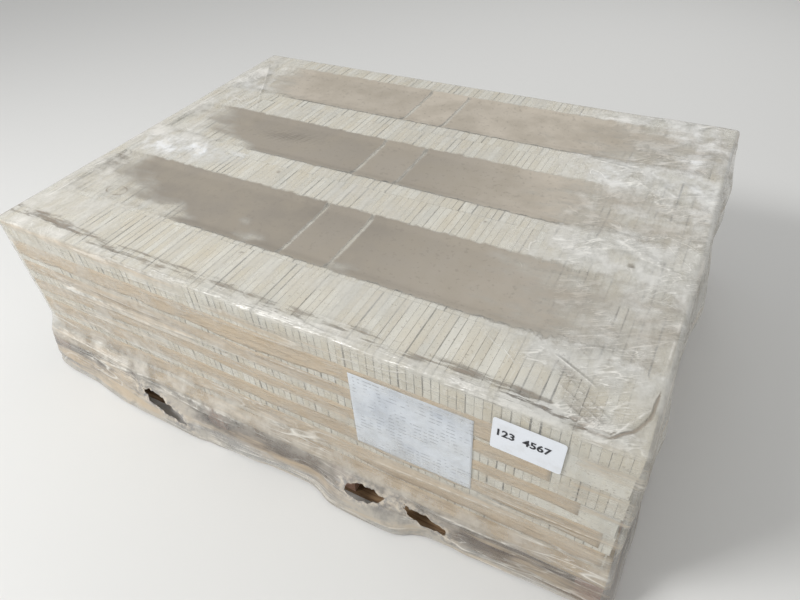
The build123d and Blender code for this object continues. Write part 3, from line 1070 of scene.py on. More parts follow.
        # Grime and painted shade at the joints, one value a face.
        set_attribute(piece, "arris", np.concatenate(self.arris_grime_and_shade(quads, triangles, bricks)), "FACE")
        tones = np.concatenate([np.repeat(tone, len(quads)), np.repeat(tone, len(triangles))])
        set_attribute(piece, "brick_tone", tones, "FACE")
        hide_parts(f"brick_course_{number}")
        return piece

    @staticmethod
    def joined(name: str, points: Array, quads: Array, triangles: Array) -> bpy.types.Object:
        """One flat-shaded mesh from quads and triangles together."""
        mesh = bpy.data.meshes.new(name)
        mesh.vertices.add(len(points))
        mesh.vertices.foreach_set("co", points.astype(np.float32).ravel())
        mesh.loops.add(quads.size + triangles.size)
        order = np.concatenate([quads.ravel(), triangles.ravel()]).astype(np.int32)
        mesh.loops.foreach_set("vertex_index", order)
        starts = np.concatenate([np.arange(len(quads)) * 4, quads.size + np.arange(len(triangles)) * 3])
        mesh.polygons.add(len(starts))
        mesh.polygons.foreach_set("loop_start", starts.astype(np.int32))
        mesh.polygons.foreach_set("use_smooth", np.zeros(len(starts), dtype=bool))
        mesh.update(calc_edges=True)
        piece = bpy.data.objects.new(name, mesh)
        bpy.context.scene.collection.objects.link(piece)
        return piece

    def build(self, clay: bpy.types.Material) -> list[bpy.types.Object]:
        """Builds and dresses the six courses."""
        pieces = []
        for number in range(1, 7):
            piece = self.course(number)
            piece.data.materials.append(clay)
            pieces.append(piece)
        return pieces


@dataclass
class SlipSheets:
    """Kraft sheets between the courses, folded down over the front and the back in wavy flaps."""

    stack: Stack
    step: float = 0.012
    gap: float = 0.0007
    thickness: float = 0.0005
    wave: float = 0.009
    seed: int = 7

    def sheet(self, number: int) -> bpy.types.Object:
        """Builds one sheet.

        The section runs up the front flap, over the course and down the back flap. Each flap is a
        grid whose hem height and stand-off vary along X by noise.

        Args:
            number: The sheet, 1 being the lowest.

        Returns:
            The piece, which replaces the frame's sheet.
        """
        low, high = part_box(f"slip_sheet_{number}")
        x = np.linspace(low.x, high.x, round((high.x - low.x) / self.step) + 1)
        half = self.stack.half_depth
        level = high.z - self.thickness
        drop = high.z - low.z
        flap = np.linspace(1.0, 0.0, 9)
        along = np.stack([x, np.zeros_like(x), np.full_like(x, number * 0.37)], axis=1)
        hem = self.wave * (noise(along, (0.21, 1, 1), self.seed) + 0.6 * noise(along, (0.06, 1, 1), self.seed + 1))
        sections = []
        for sign, depth in ((-1.0, drop), (1.0, 0.048)):
            down = flap[:, None] * (depth - self.wave * 0.8 + hem[None, :])
            place = np.stack([np.broadcast_to(x, down.shape).ravel(), np.zeros(down.size),
                              (level - down).ravel()], axis=1)
            lift = creases(place, (0.17, 1, 0.03), self.seed + number + 5 * int(sign > 0), 3.0).reshape(down.shape)
            off = self.gap + 0.0004 * lift * np.clip(flap[:, None] * 3.0, 0.0, 1.0)
            sections.append((sign * (half + off), level - down))
        flat_y = np.linspace(-half + 0.02, half - 0.02, 5)
        y = np.concatenate([sections[0][0], np.broadcast_to(flat_y[:, None], (5, x.size)), sections[1][0][::-1]])
        z = np.concatenate([sections[0][1], np.full((5, x.size), level), sections[1][1][::-1]])
        points = np.stack([np.broadcast_to(x, y.shape), y, z], axis=-1).reshape(-1, 3)
        piece = mesh_piece(f"kraft_sheet_{number}", points, grid_faces(len(y), x.size))
        solid = piece.modifiers.new("paper", "SOLIDIFY")
        solid.thickness = self.thickness
        solid.offset = 1.0
        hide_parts(f"slip_sheet_{number}")
        self.cut = (high.x - low.x, 2 * half + drop + 0.048)
        return piece

    def build(self, kraft: bpy.types.Material) -> list[bpy.types.Object]:
        pieces = []
        for number in range(1, 6):
            piece = self.sheet(number)
            piece.data.materials.append(kraft)
            pieces.append(piece)
        return pieces


@dataclass(frozen=True)
class Fold:
    """A straight fold of the film, between two points given in the two coordinates of its side."""

    start: tuple[float, float]
    end: tuple[float, float]
    width: float
    height: float
    strength: float = 0.7
    faded: bool = True

    def shape(self, first: Array, second: Array) -> tuple[Array, Array, Array]:
        """Rise, signed distance and strength of the fold.

        The rise is a bell of the distance to the line, times 1 - t^4 where t runs from -1 to 1
        along it. The distance has the sign of its side, so that it passes through 0 on the line.

        Args:
            first: First coordinate of each vertex.
            second: Second coordinate of each vertex.

        Returns:
            Height in metres, distance in shares of the width, and strength from 0 to 1.
        """
        run = np.subtract(self.end, self.start)
        from_first, from_second = first - self.start[0], second - self.start[1]
        share = np.clip((from_first * run[0] + from_second * run[1]) / float(run @ run), 0.0, 1.0)
        away = np.hypot(from_first - share * run[0], from_second - share * run[1])
        side = np.sign(from_first * run[1] - from_second * run[0])
        fade = 1.0 - (2.0 * share - 1.0) ** 4 if self.faded else np.ones_like(share)
        return self.height * fade * bell(away, 0.0, self.width), side * away / self.width, self.strength * fade

    @staticmethod
    def nearest(folds: Iterable["Fold"], first: Array, second: Array) -> tuple[Array, Array, Array]:
        """Highest rise of several folds, with the distance to the nearest one and its strength.

        The strength goes to 0 away from the fold, so that no line shows where the nearest fold
        changes.
        """
        rise, off, strength = np.zeros(len(first)), np.full(len(first), 9.0), np.zeros(len(first))
        for fold in folds:
            high, away, share = fold.shape(first, second)
            rise = np.maximum(rise, high)
            closer = np.abs(away) < np.abs(off)
            off = np.where(closer, away, off)
            strength = np.where(closer, share, strength)
        return rise, off, strength * (1.0 - smooth(0.40, 0.72, np.abs(off)))


class Wall(Enum):
    """The four sides of the film hood."""

    FRONT = "front"
    BACK = "back"
    LEFT = "left"
    RIGHT = "right"


@dataclass
class StretchHood:
    """Clear film drawn over the stack and the pallet: a flat top, four walls and a loose skirt.

    One grid covers the top, and columns hang from its edge down to the hem, so that the film is a
    single sheet. Every vertex is first put on a box with rounded edges, then moved out by the
    profile of its wall, and last by folds that are formulas of its place.
    """

    stack: Stack
    cell: float = 0.0082
    rows_down: int = 70
    stand_off: float = 0.0042
    rounding: float = 0.007
    hem: float = 0.006
    knee: float = 0.197
    deck: float = 0.127
    silt_bands: tuple[tuple[float, float, float], ...] = (
        (-0.4624, -0.2100, 0.12), (-0.0455, 0.1858, 0.30), (0.3368, 0.5893, 0.84))
    tip_shares: tuple[float, ...] = (0.0, 0.25, 0.5, 0.75, 1.0)
    tip_places: tuple[tuple[float, ...], ...] = (
        (-0.800, -0.860, -0.900, -0.905, -0.880), (-0.700, -0.790, -0.860, -0.875, -0.855),
        (-0.800, -0.840, -0.880, -0.880, -0.860))
    tip_softness: tuple[tuple[float, ...], ...] = (
        (0.540, 0.480, 0.360, 0.270, 0.210), (0.380, 0.320, 0.280, 0.240, 0.200),
        (0.300, 0.300, 0.300, 0.300, 0.300))
    paling: tuple[float, float, float] = (0.50, 0.78, 0.30)
    clean_lines: tuple[tuple[float, float], ...] = ((-0.058, 0.090), (-0.090, 0.059), (-0.118, 0.031))
    band_half_length: float = 0.8703
    band_depth: float = 0.008
    hem_places: tuple[float, ...] = (-0.955, -0.862, -0.717, -0.556, -0.391, -0.181, 0.024, 0.156, 0.24,
                                     0.40, 0.455, 0.519, 0.627, 0.747, 0.81, 0.95)
    hem_reaches: tuple[float, ...] = (0.035, 0.052, 0.059, 0.080, 0.083, 0.070, 0.059, 0.052, 0.100,
                                      0.096, 0.050, 0.047, 0.043, 0.034, 0.032, 0.034)
    tears: tuple[tuple[float, ...], ...] = (
        (-0.405, 0.072, 0.150, 0.034, -0.28), (0.310, 0.096, 0.110, 0.030, 0.10), (0.482, 0.080, 0.125, 0.038, -0.42))
    limits: tuple[float, float, float] = (0.977, 0.760, 0.735)
    seed: int = 23

    def shell(self) -> tuple[Array, Array, Array]:
        """The grid of the top and the columns of the walls, before they are shaped.

        Returns:
            Places on a sharp box (n, 3), faces (m, 4), and a mask that is 1 on the walls, 0 on the
            top and a half on the edge between (n,).
        """
        half_x = self.stack.half_length + self.stand_off
        half_y = self.stack.half_depth + self.stand_off
        top = self.stack.top + 0.0014
        nx = round(2 * half_x / self.cell) + 1
        ny = round(2 * half_y / self.cell) + 1
        x, y = np.meshgrid(np.linspace(-half_x, half_x, nx), np.linspace(-half_y, half_y, ny), indexing="xy")
        flat = np.stack([x.ravel(), y.ravel(), np.full(x.size, top)], axis=1)
        number = np.arange(nx * ny).reshape(ny, nx)
        ring = np.concatenate([number[0, :-1], number[:-1, -1], number[-1, :0:-1], number[:0:-1, 0]])
        down = np.linspace(0.0, 1.0, self.rows_down + 1)[1:]
        level = top - down * (top - self.hem)
        walls = np.repeat(flat[ring][None], self.rows_down, axis=0)
        walls[:, :, 2] = level[:, None]
        points = np.concatenate([flat, walls.reshape(-1, 3)])
        columns = np.concatenate([ring[None], nx * ny + np.arange(self.rows_down * len(ring)).reshape(-1, len(ring))])
        a, b = columns[:-1], np.roll(columns[:-1], -1, axis=1)
        c, d = np.roll(columns[1:], -1, axis=1), columns[1:]
        sides = np.stack([a, d, c, b], axis=-1).reshape(-1, 4)
        wall = np.concatenate([np.zeros(len(flat)), np.ones(self.rows_down * len(ring))])
        wall[ring] = 0.5
        return points, np.concatenate([grid_faces(ny, nx), sides]), wall

    def rounded(self, points: Array) -> tuple[Array, Array]:
        """Draws the sharp box's edges in to a radius.

        A vertex keeps its direction from the nearest point of a box that is smaller by the
        radius, and is put at the radius from that point.

        Args:
            points: Places on the sharp box.

        Returns:
            The rounded places and the outward directions.
        """
        radius = self.rounding
        limit = np.array([self.stack.half_length + self.stand_off, self.stack.half_depth + self.stand_off,
                          self.stack.top + 0.0014]) - radius
        inner = np.clip(points, [-limit[0], -limit[1], -9.0], limit)
        out = points - inner
        length = np.maximum(np.linalg.norm(out, axis=1, keepdims=True), 1e-9)
        out = out / length
        return inner + out * radius, out

    def front_profile(self, x: Array, z: Array) -> Array:
        """How far the front wall stands out of the stack's film line, by place and height."""
        reach = np.mean([np.interp(x + shift, self.hem_places, self.hem_reaches) for shift in (-0.03, 0.0, 0.03)], axis=0)
        at_deck = np.minimum(0.031, reach * 0.62)
        skirt = np.clip((self.deck - z) / self.deck, 0.0, 1.0)
        above = smooth(0.0, 1.0, np.clip((self.knee + 0.02 - z) / (self.knee + 0.02 - self.deck), 0.0, 1.0))
        return above * at_deck + (reach - at_deck) * skirt ** 0.85

    def plain_profile(self, z: Array, overhang: float, flare: float) -> Array:
        """Stand-out of a wall that clears the pallet by its overhang and flares to the hem."""
        skirt = np.clip((self.deck - z) / self.deck, 0.0, 1.0)
        above = smooth(0.0, 1.0, np.clip((self.knee - z) / (self.knee - self.deck), 0.0, 1.0))
        return above * overhang + skirt * flare

    def sagged(self, points: Array, wall: Array) -> Array:
        """The film after its walls are moved out and its top is let down into the low bands.

        Args:
            points: Places on the rounded box.
            wall: Mask that is 1 on the walls.

        Returns:
            The shaped places.
        """
        x, y, z = points.T
        half_x, half_y = self.stack.half_length, self.stack.half_depth
        bulge = 0.026 * bell(z, 0.40, 0.15) + 0.008 * bell(z, 0.24, 0.06)
        right = self.plain_profile(z, 0.0165, 0.020) + bulge * (0.75 + 0.5 * noise(points, (1, 0.25, 0.2), 3))
        left = self.plain_profile(z, 0.0105, 0.002)
        move_x = np.where(x > 0, right, left) * np.clip(np.abs(x) / half_x, 0.0, 1.0) ** 6 * wall
        back = self.plain_profile(z, 0.034, 0.018)
        move_y = np.where(y > 0, back, self.front_profile(x, z)) * np.clip(np.abs(y) / half_y, 0.0, 1.0) ** 6 * wall
        shaped = points.copy()
        shaped[:, 0] += np.sign(x) * move_x
        shaped[:, 1] += np.sign(y) * move_y
        low = np.zeros(len(points))
        for front, back_edge, _ in self.silt_bands:
            inside = smooth(front, front + 0.034, y) * (1.0 - smooth(back_edge - 0.026, back_edge, y))
            ends = 1.0 - smooth(self.band_half_length - 0.060, self.band_half_length, np.abs(x))
            low = np.maximum(low, inside * ends)
        shaped[:, 2] -= low * self.band_depth * (1.0 - wall)
        return shaped

    def top_folds(self) -> list[Fold]:
        """Folds of the top: a fan to the right front corner, the back left gusset and the edges."""
        rng = np.random.default_rng(self.seed)
        folds = [Fold((0.690, -0.500), (0.800, -0.562), 0.016, 0.0030, 0.9), Fold((0.706, -0.540), (0.848, -0.632), 0.016, 0.0040, 0.9),
                 Fold((0.722, -0.575), (0.838, -0.648), 0.016, 0.0035, 0.8), Fold((0.752, -0.618), (0.822, -0.660), 0.016, 0.0030, 0.8),
                 Fold((0.660, -0.460), (0.845, -0.362), 0.020, 0.0030, 0.6), Fold((0.720, -0.474), (0.830, -0.420), 0.018, 0.0030, 0.7),
                 Fold((0.850, -0.660), (0.905, -0.560), 0.022, 0.0060, 0.9), Fold((0.905, -0.46), (0.910, -0.26), 0.024, 0.0050),
                 Fold((-0.885, 0.60), (-0.63, 0.17), 0.022, 0.0042, 0.9), Fold((-0.63, 0.20), (-0.60, 0.10), 0.020, 0.0030)]
        for _ in range(20):
            x, y = rng.uniform(0.44, 0.88), rng.uniform(-0.40, 0.60)
            turn = rng.uniform(-0.9, 0.7)
            length = rng.uniform(0.08, 0.24)
            end = (min(x + length * math.cos(turn), 0.91), y + length * math.sin(turn))
            folds.append(Fold((x, y), end, rng.uniform(0.020, 0.034), rng.uniform(0.0020, 0.0050), rng.uniform(0.2, 0.8)))
        for _ in range(22):
            x = rng.uniform(-0.90, 0.50)
            y = -self.stack.half_depth + rng.uniform(0.004, 0.050)
            folds.append(Fold((x, y), (x + rng.uniform(0.10, 0.32), y + rng.uniform(-0.010, 0.016)),
                              0.020, rng.uniform(0.0010, 0.0026), rng.uniform(0.2, 0.7)))
        for _ in range(10):
            x, y = -0.90 + rng.uniform(0.0, 0.03), rng.uniform(-0.60, 0.40)
            folds.append(Fold((x, y), (x + rng.uniform(0.0, 0.03), y + rng.uniform(0.08, 0.25)), 0.020, 0.0018, 0.5))
        return folds

    @staticmethod
    def mud_lines() -> list[Fold]:
        """Line of mud behind the front edge, which ends in a curve round the right corner."""
        stops = ((-0.910, -0.612), (-0.750, -0.612), (-0.600, -0.622), (-0.365, -0.629), (-0.130, -0.629),
                 (0.080, -0.634), (0.300, -0.624), (0.500, -0.624), (0.622, -0.627), (0.724, -0.633),
                 (0.788, -0.654))
        widths = (0.060, 0.056, 0.050, 0.046, 0.044, 0.044, 0.046, 0.050, 0.046, 0.040)
        strengths = (1.0, 1.0, 0.95, 0.95, 0.85, 0.85, 0.90, 1.0, 1.05, 0.95)
        ends = zip(stops, stops[1:], widths, strengths)
        return [Fold(start, end, width, 0.0, strength, faded=False) for start, end, width, strength in ends]

    @staticmethod
    def corner_mud_and_shade_lines() -> list[Fold]:
        """Thin lines of the right front corner: a curve of mud round it, and painted shade in the valleys of the fan.
        """
        stops = ((0.770, -0.648), (0.812, -0.664), (0.848, -0.662), (0.883, -0.632), (0.903, -0.590), (0.907, -0.530))
        strengths = (0.80, 0.60, 0.95, 1.0, 0.95)
        curve = [Fold(start, end, 0.026, 0.0, strength, faded=False)
                 for start, end, strength in zip(stops, stops[1:], strengths)]
        # The valleys between the fan's folds, darkened as painted shade.
        return curve + [Fold((0.690, -0.515), (0.826, -0.597), 0.050, 0.0, 0.40), Fold((0.712, -0.560), (0.835, -0.640), 0.050, 0.0, 0.50),
                        Fold((0.735, -0.600), (0.815, -0.652), 0.050, 0.0, 0.50)]

    def wall_folds(self, wall: Wall) -> list[Fold]:
        """Long folds of one wall, in its length and height: level ones, and slack ones at the right.

        Args:
            wall: The wall.

        Returns:
            The folds, with random places from a fixed seed.
        """
        rng = np.random.default_rng(self.seed + len(wall.value) * 7)
        reach = self.stack.half_length if wall in (Wall.FRONT, Wall.BACK) else self.stack.half_depth
        folds = []
        if wall is Wall.RIGHT:
            for _ in range(16):
                y, top = rng.uniform(-reach, reach), rng.uniform(0.46, 0.57)
                foot = (y + rng.uniform(-0.08, 0.08), rng.uniform(0.14, 0.36))
                folds.append(Fold((y, top), foot, rng.uniform(0.020, 0.034), rng.uniform(0.003, 0.008)))
        if wall is Wall.FRONT:
            # The lines of these folds carry strong painted highlights.
            folds += [Fold((-0.37, 0.132), (-0.06, 0.124), 0.020, 0.0060, 1.0), Fold((-0.34, 0.110), (-0.12, 0.104), 0.018, 0.0050, 0.9),
                      Fold((-0.88, 0.160), (-0.52, 0.140), 0.020, 0.0040, 0.8)]
        for _ in range(26 if wall is Wall.FRONT else 18):
            x, z = rng.uniform(-reach, reach * 0.8), rng.uniform(0.16, 0.55)
            end = (x + rng.uniform(0.15, 0.60), z + rng.uniform(-0.025, 0.025))
            folds.append(Fold((x, z), end, rng.uniform(0.018, 0.024), rng.uniform(0.0010, 0.0030), rng.uniform(0.2, 0.8)))
        for _ in range(22):
            x, z = rng.uniform(-reach, reach * 0.85), rng.uniform(0.012, 0.135)
            end = (x + rng.uniform(0.10, 0.45), z + rng.uniform(-0.035, 0.035))
            folds.append(Fold((x, z), end, rng.uniform(0.016, 0.024), rng.uniform(0.0025, 0.0065), rng.uniform(0.3, 0.9)))
        return folds

    def folded(self, points: Array, normals: Array, wall: Array) -> tuple[Array, Array, Array]:
        """Height of all the folds, and the lines of their crests.

        Args:
            points: Places before folding.
            normals: Outward directions.
            wall: Mask that is 1 on the walls.

        Returns:
            Distance outwards in metres, then the distance to the nearest fold in shares of its
            width and its strength from 0 to 1.
        """
        x, y, z = points.T
        height, off, strength = np.zeros(len(points)), np.full(len(points), 9.0), np.zeros(len(points))
        sides = [(self.top_folds(), x, y, normals[:, 2] > 0.7)]
        sides += [(self.wall_folds(Wall.FRONT), x, z, (normals[:, 1] < -0.7) & (wall > 0.5)),
                  (self.wall_folds(Wall.BACK), x, z, (normals[:, 1] > 0.7) & (wall > 0.5)),
                  (self.wall_folds(Wall.LEFT), y, z, (normals[:, 0] < -0.7) & (wall > 0.5)),
                  (self.wall_folds(Wall.RIGHT), y, z, (normals[:, 0] > 0.7) & (wall > 0.5))]
        for folds, first, second, there in sides:
            height[there], off[there], strength[there] = Fold.nearest(folds, first[there], second[there])
        return height, off, strength

    def crumpled(self, points: Array, wall: Array) -> Array:
        """Soft unevenness: a low crumple on the top, level waves on the walls, pleats at the hem."""
        x, _, z = points.T
        top = 0.0010 * creases(points, (0.055, 0.05, 1), 11, 2.5)
        loose = smooth(0.40, 0.80, x)
        bent = points + 0.02 * noise(points, (0.1, 0.1, 1), 9)[:, None]
        top += 0.0050 * loose * creases(bent, (0.12, 0.10, 1), 13, 1.6)
        past_line = (x + 0.885) * 0.43 + (points[:, 1] - 0.60) * 0.255
        top += 0.0030 * (1.0 - smooth(-0.004, 0.006, past_line)) * smooth(0.12, 0.30, points[:, 1])
        walls = 0.0030 * np.abs(noise(points, (0.40, 0.40, 0.06), 31)) ** 1.5
        skirt = smooth(0.19, 0.04, z)
        walls += 0.0055 * skirt * np.abs(noise(points, (0.16, 0.16, 0.30), 33))
        walls += 0.0030 * skirt * creases(points, (0.13, 0.13, 0.035), 34, 2.0)
        return top * (1.0 - wall) + walls * wall

    def pressed_flat(self, points: Array) -> Array:
        """Share of the folds that is left: none under the label, little over the packing list."""
        left = np.ones(len(points))
        for name, share in (("label", 0.0), ("packing_list", 0.35)):
            low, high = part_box(name)
            past_x = np.maximum(low.x - points[:, 0], points[:, 0] - high.x)
            past_z = np.maximum(low.z - points[:, 2], points[:, 2] - high.z)
            past = smooth(0.0, 0.025, np.maximum(past_x, past_z) - 0.008)
            left = np.minimum(left, share + (1.0 - share) * past)
        return np.where(points[:, 1] < 0.0, left, 1.0)

    def tear_distance(self, points: Array) -> Array:
        """Distance to the nearest fork tear, negative inside, in metres on the front wall.

        Each tear is an ellipse of the given middle, width, height and slope, made uneven by noise.
        """
        nearest = np.full(len(points), 9.0)
        for middle_x, middle_z, width, height, slope in self.tears:
            dx = (points[:, 0] - middle_x) / (width / 2)
            dz = (points[:, 2] - middle_z - slope * (points[:, 0] - middle_x)) / (height / 2)
            wobble = 0.30 * noise(points, (0.045, 1, 0.05), 51)
            nearest = np.minimum(nearest, (np.hypot(dx, dz) - 1.0 + wobble) * height / 2)
        return np.where(points[:, 1] < -self.stack.half_depth, nearest, 9.0)

    def silt_masks(self, points: Array, wall: Array) -> dict[str, Array]:
        """Where the silt lies on the top, how thickly and how pale.

        A band is the distance inside its two sides. The cover rises past the band's left tip, whose
        place and softness change from the band's front to its back, and fades over worn patches and
        slowly to the right.

        Args:
            points: Final places.
            wall: Mask that is 1 on the walls.

        Returns:
            Attribute name to values.
        """
        x, y, _ = points.T
        silt, line = np.full(len(points), -1.0), np.full(len(points), 1.0)
        tone = np.full(len(points), 0.5)
        begun = np.zeros(len(points))
        shifted = x + 0.035 * noise(points, (0.09, 0.06, 1), 68) + 0.020 * noise(points, (0.04, 0.025, 1), 69)
        for band, (front, back, pale) in enumerate(self.silt_bands):
            first, second = self.clean_lines[band]
            middle, half = (front + back) / 2, (back - front) / 2
            across = half - np.abs(y - middle) + 0.004
            silt = np.maximum(silt, across)
            share = np.clip((y - front) / (back - front), 0.0, 1.0)
            tip = np.interp(share, self.tip_shares, self.tip_places[band])
            soft = np.interp(share, self.tip_shares, self.tip_softness[band])
            past = np.clip((shifted - tip) / soft, 0.0, 1.0)
            begun = np.where(across > -0.015, past, begun)
            near = np.minimum(np.abs(x - first), np.abs(x - second)) - 0.0040
            line = np.where(across > -0.012, np.minimum(line, near), line)
            between = smooth(first, first + 0.004, x) * (1.0 - smooth(second - 0.004, second, x))
            here = pale + self.paling[band] * smooth(-0.05, 0.70, x) + 0.16 * between
            here += 0.14 * noise(points, (0.3, 0.2, 1), 63)
            tone = np.where(across > -0.02, here, tone)
        worn = 0.75 * bell(y, -0.435, 0.035) * (bell(x, -0.52, 0.10) + bell(x, -0.18, 0.06) + bell(x, 0.12, 0.06))
        worn += 0.60 * bell(y, -0.375, 0.022) * (bell(x, -0.47, 0.04) + bell(x, -0.24, 0.03))
        worn += 0.35 * bell(y, -0.02, 0.05) * bell(x, -0.55, 0.12) + 0.25 * bell(y, 0.36, 0.04) * bell(x, -0.62, 0.14)
        worn *= 0.9 + 0.5 * noise(points, (0.035, 0.02, 1), 70)
        fading = smooth(0.22, 0.80, x - 0.12 * np.abs(y - 0.10) + 0.07 * noise(points, (0.2, 0.12, 1), 64))
        blurred = 1.0 - 0.90 * smooth(0.34, 0.80, x + 0.05 * noise(points, (0.2, 0.12, 1), 72))
        return {
            "silt": np.where(wall > 0.4, -1.0, silt * blurred),
            "clean_line": line,
            "silt_cover": np.clip(1.40 * begun - 0.15 - worn - 0.92 * fading, -0.4, 1.25),
            "silt_tone": np.clip(tone, 0.0, 1.0),
            "ripple": bell(x, -0.42, 0.10) * bell(y, 0.085 + 0.12 * (x + 0.42), 0.030) * (1.0 - wall),
        }

    def mud_mask(self, points: Array, wall: Array) -> Array:
        """Mud: the left front corner, the tips of the bands, a back edge and a few specks."""
        x, y, _ = points.T
        corner = 0.62 * bell(x, -0.80, 0.14) * bell(y, -0.612, 0.036)
        tip = 0.62 * bell(x, -0.850, 0.050) * bell(y, -0.250, 0.040) + 0.40 * bell(x, -0.80, 0.03) * bell(y, 0.12, 0.03)
        tip += 0.46 * bell(x, -0.84, 0.08) * bell(y, -0.33, 0.07)
        back = 0.70 * bell(y, 0.587, 0.006) * bell(x, 0.36, 0.13)
        specks = np.zeros(len(points))
        for speck_x, speck_y, size in ((0.38, -0.115, 0.012), (0.77, -0.15, 0.014), (0.40, -0.125, 0.008),
                                       (-0.30, -0.13, 0.010), (0.10, 0.20, 0.008), (-0.14, -0.50, 0.008)):
            specks = np.maximum(specks, 0.95 * bell(np.hypot(x - speck_x, y - speck_y), 0.0, size))
        return np.maximum.reduce([corner, tip, back, specks]) * (1.0 - wall)

    def front_edge(self, points: Array) -> Array:
        """Share of the film drawn over the top front edge, from 1 at the edge to 0 behind and below it."""
        behind = bell(points[:, 1], -self.stack.half_depth - self.stand_off + 0.012, 0.022)
        below = smooth(self.stack.top - 0.030, self.stack.top - 0.008, points[:, 2])
        return behind * below

    @staticmethod
    def glare_mask(points: Array, wall: Array) -> Array:
        """Where the film shines white: between the first two bands at the left, and the back gusset."""
        x, y, _ = points.T
        patch = 0.95 * bell(x, -0.67, 0.20) * bell(y, -0.128 + 0.10 * (x + 0.66), 0.056) + 0.8 * bell(x, -0.47, 0.06) * bell(y, -0.085, 0.035)
        gusset = 0.55 * bell(x, -0.80, 0.07) * bell(y, 0.36, 0.16)
        right = 0.55 * bell(x, 0.84, 0.09) * bell(y, 0.40, 0.24) + 0.45 * bell(x, 0.60, 0.10) * bell(y, 0.26, 0.08)
        return np.clip(patch + gusset + right, 0.0, 1.0) * (1.0 - wall)

    def haze_and_sheen_mask(self, points: Array, wall: Array) -> Array:
        """Milkiness with painted sheen: patches on the top, most at the right end, painted highlights along the top
        front edge, a painted reflection on the front wall's left half, and a cloudy skirt.
        """
        x, y, z = points.T
        milky_and_highlight = 0.31 + 0.55 * bell(x, -0.66, 0.17) * bell(y, -0.112, 0.065)
        milky_and_highlight += 0.46 * smooth(0.35, 0.72, x + 0.10 * noise(points, (0.2, 0.2, 1), 66))
        milky_and_highlight -= 0.42 * bell(x, 0.62, 0.16) * bell(y, -0.57, 0.07) + 0.45 * bell(x, 0.83, 0.07) * bell(y, -0.58, 0.06)
        milky_and_highlight += 0.34 * (1.0 - smooth(-0.84, -0.60, x)) + 0.22 * noise(points, (0.13, 0.10, 1), 67)
        # A whiter strip along the top front edge: the film doubled over the edge, and a painted highlight.
        milky_and_highlight += 0.25 * bell(y, -0.655, 0.016)
        walls = 0.17 + 0.34 * smooth(0.050, 0.012, z) + 0.20 * bell(z, 0.145, 0.030)
        # A painted reflection on the left half of the front wall.
        walls += 0.20 * (1.0 - smooth(-0.55, 0.25, x)) * smooth(-0.45, -0.66, y)
        for middle_x, _, width, _, _ in self.tears:
            walls += 0.55 * bell(x, middle_x, 0.9 * width) * smooth(0.150, 0.090, z) * (y < 0.0)
        walls += 0.13 * noise(points, (0.50, 0.50, 0.035), 61)
        walls += 0.12 * smooth(0.905, 0.925, x) + 0.25 * (1.0 - smooth(-0.935, -0.915, x))
        # The walls' film just under the top edge: a painted highlight.
        walls += 0.25 * smooth(0.57, 0.583, z)
        return np.where(wall > 0.7, np.clip(walls, 0.0, 0.8), np.clip(milky_and_highlight, 0.0, 0.8))

    def build(self, film: bpy.types.Material) -> bpy.types.Object:
        """Args:
            film: The film's material.

        Returns:
            The piece, which replaces the frame's hood.
        """
        points, faces, wall = self.shell()
        points, normals = self.rounded(points)
        points = self.sagged(points, wall)
        height, off, strength = self.folded(points, normals, wall)
        left = self.pressed_flat(points)
        tear = self.tear_distance(points)
        lift = (height + self.crumpled(points, wall)) * left
        lift += 0.010 * (1.0 - smooth(0.0, 0.035, np.abs(tear))) * np.abs(noise(points, (0.03, 1, 0.03), 55))
        points = points + normals * lift[:, None]
        right, front, back = self.limits
        points[:, 0] = np.sign(points[:, 0]) * held_back(np.abs(points[:, 0]), right, 0.012)
        side = np.where(points[:, 1] < 0, front, back)
        points[:, 1] = np.sign(points[:, 1]) * held_back(np.abs(points[:, 1]), side, 0.012)
        points[:, 2] += smooth(0.09, 0.0, points[:, 2]) * 0.007 * noise(points, (0.22, 0.22, 1), 71)
        points[:, 2] = np.maximum(points[:, 2], 0.0015)
        faces = faces[tear[faces].min(axis=1) > -0.022]
        used, renumbered = np.unique(faces, return_inverse=True)
        attributes = self.silt_masks(points, wall)
        attributes["mud"] = self.mud_mask(points, wall)
        attributes["haze_and_sheen"] = self.haze_and_sheen_mask(points, wall)
        attributes["glare"] = self.glare_mask(points, wall)
        # Painted shade on the lower walls.
        attributes["shade"] = wall * smooth(0.175, 0.110, points[:, 2])
        attributes["fold_off"] = off
        attributes["fold_strength"] = strength * left
        _, attributes["mud_off"], run = Fold.nearest(self.mud_lines(), points[:, 0], points[:, 1])
        attributes["mud_strength"] = run * (1.0 - wall)
        _, attributes["rut_off"], run = Fold.nearest(self.corner_mud_and_shade_lines(), points[:, 0], points[:, 1])
        attributes["rut_strength"] = run * (1.0 - wall)
        # How strongly the crests carry painted highlights.
        attributes["crest_highlight_share"] = np.where(wall > 0.5, 0.8 * left, 0.45 + 0.55 * smooth(0.35, 0.8, points[:, 0]))
        # Painted shade of the pallet's dark inside, a band on the walls round the void's height.
        attributes["painted_shade"] = wall * bell(points[:, 2], 0.078, 0.042)
        attributes["wall"] = wall
        attributes["stained"] = wall * smooth(0.35, 0.90, left)
        attributes["tear"] = tear
        attributes["loose"] = (1.0 - wall) * 0.85 * smooth(0.40, 0.70, points[:, 0])
        # Where the painted highlight strands along the top front edge lie.
        attributes["edge"] = self.front_edge(points)
        piece = mesh_piece("film_hood", points[used], renumbered.reshape(faces.shape))
        for name, values in attributes.items():
            set_attribute(piece, name, values[used])
        piece.data.materials.append(film)
        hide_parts("stretch_hood")
        area = 4 * self.stack.half_length * self.stack.half_depth
        area += 4 * (self.stack.half_length + self.stack.half_depth) * self.stack.top
        return piece


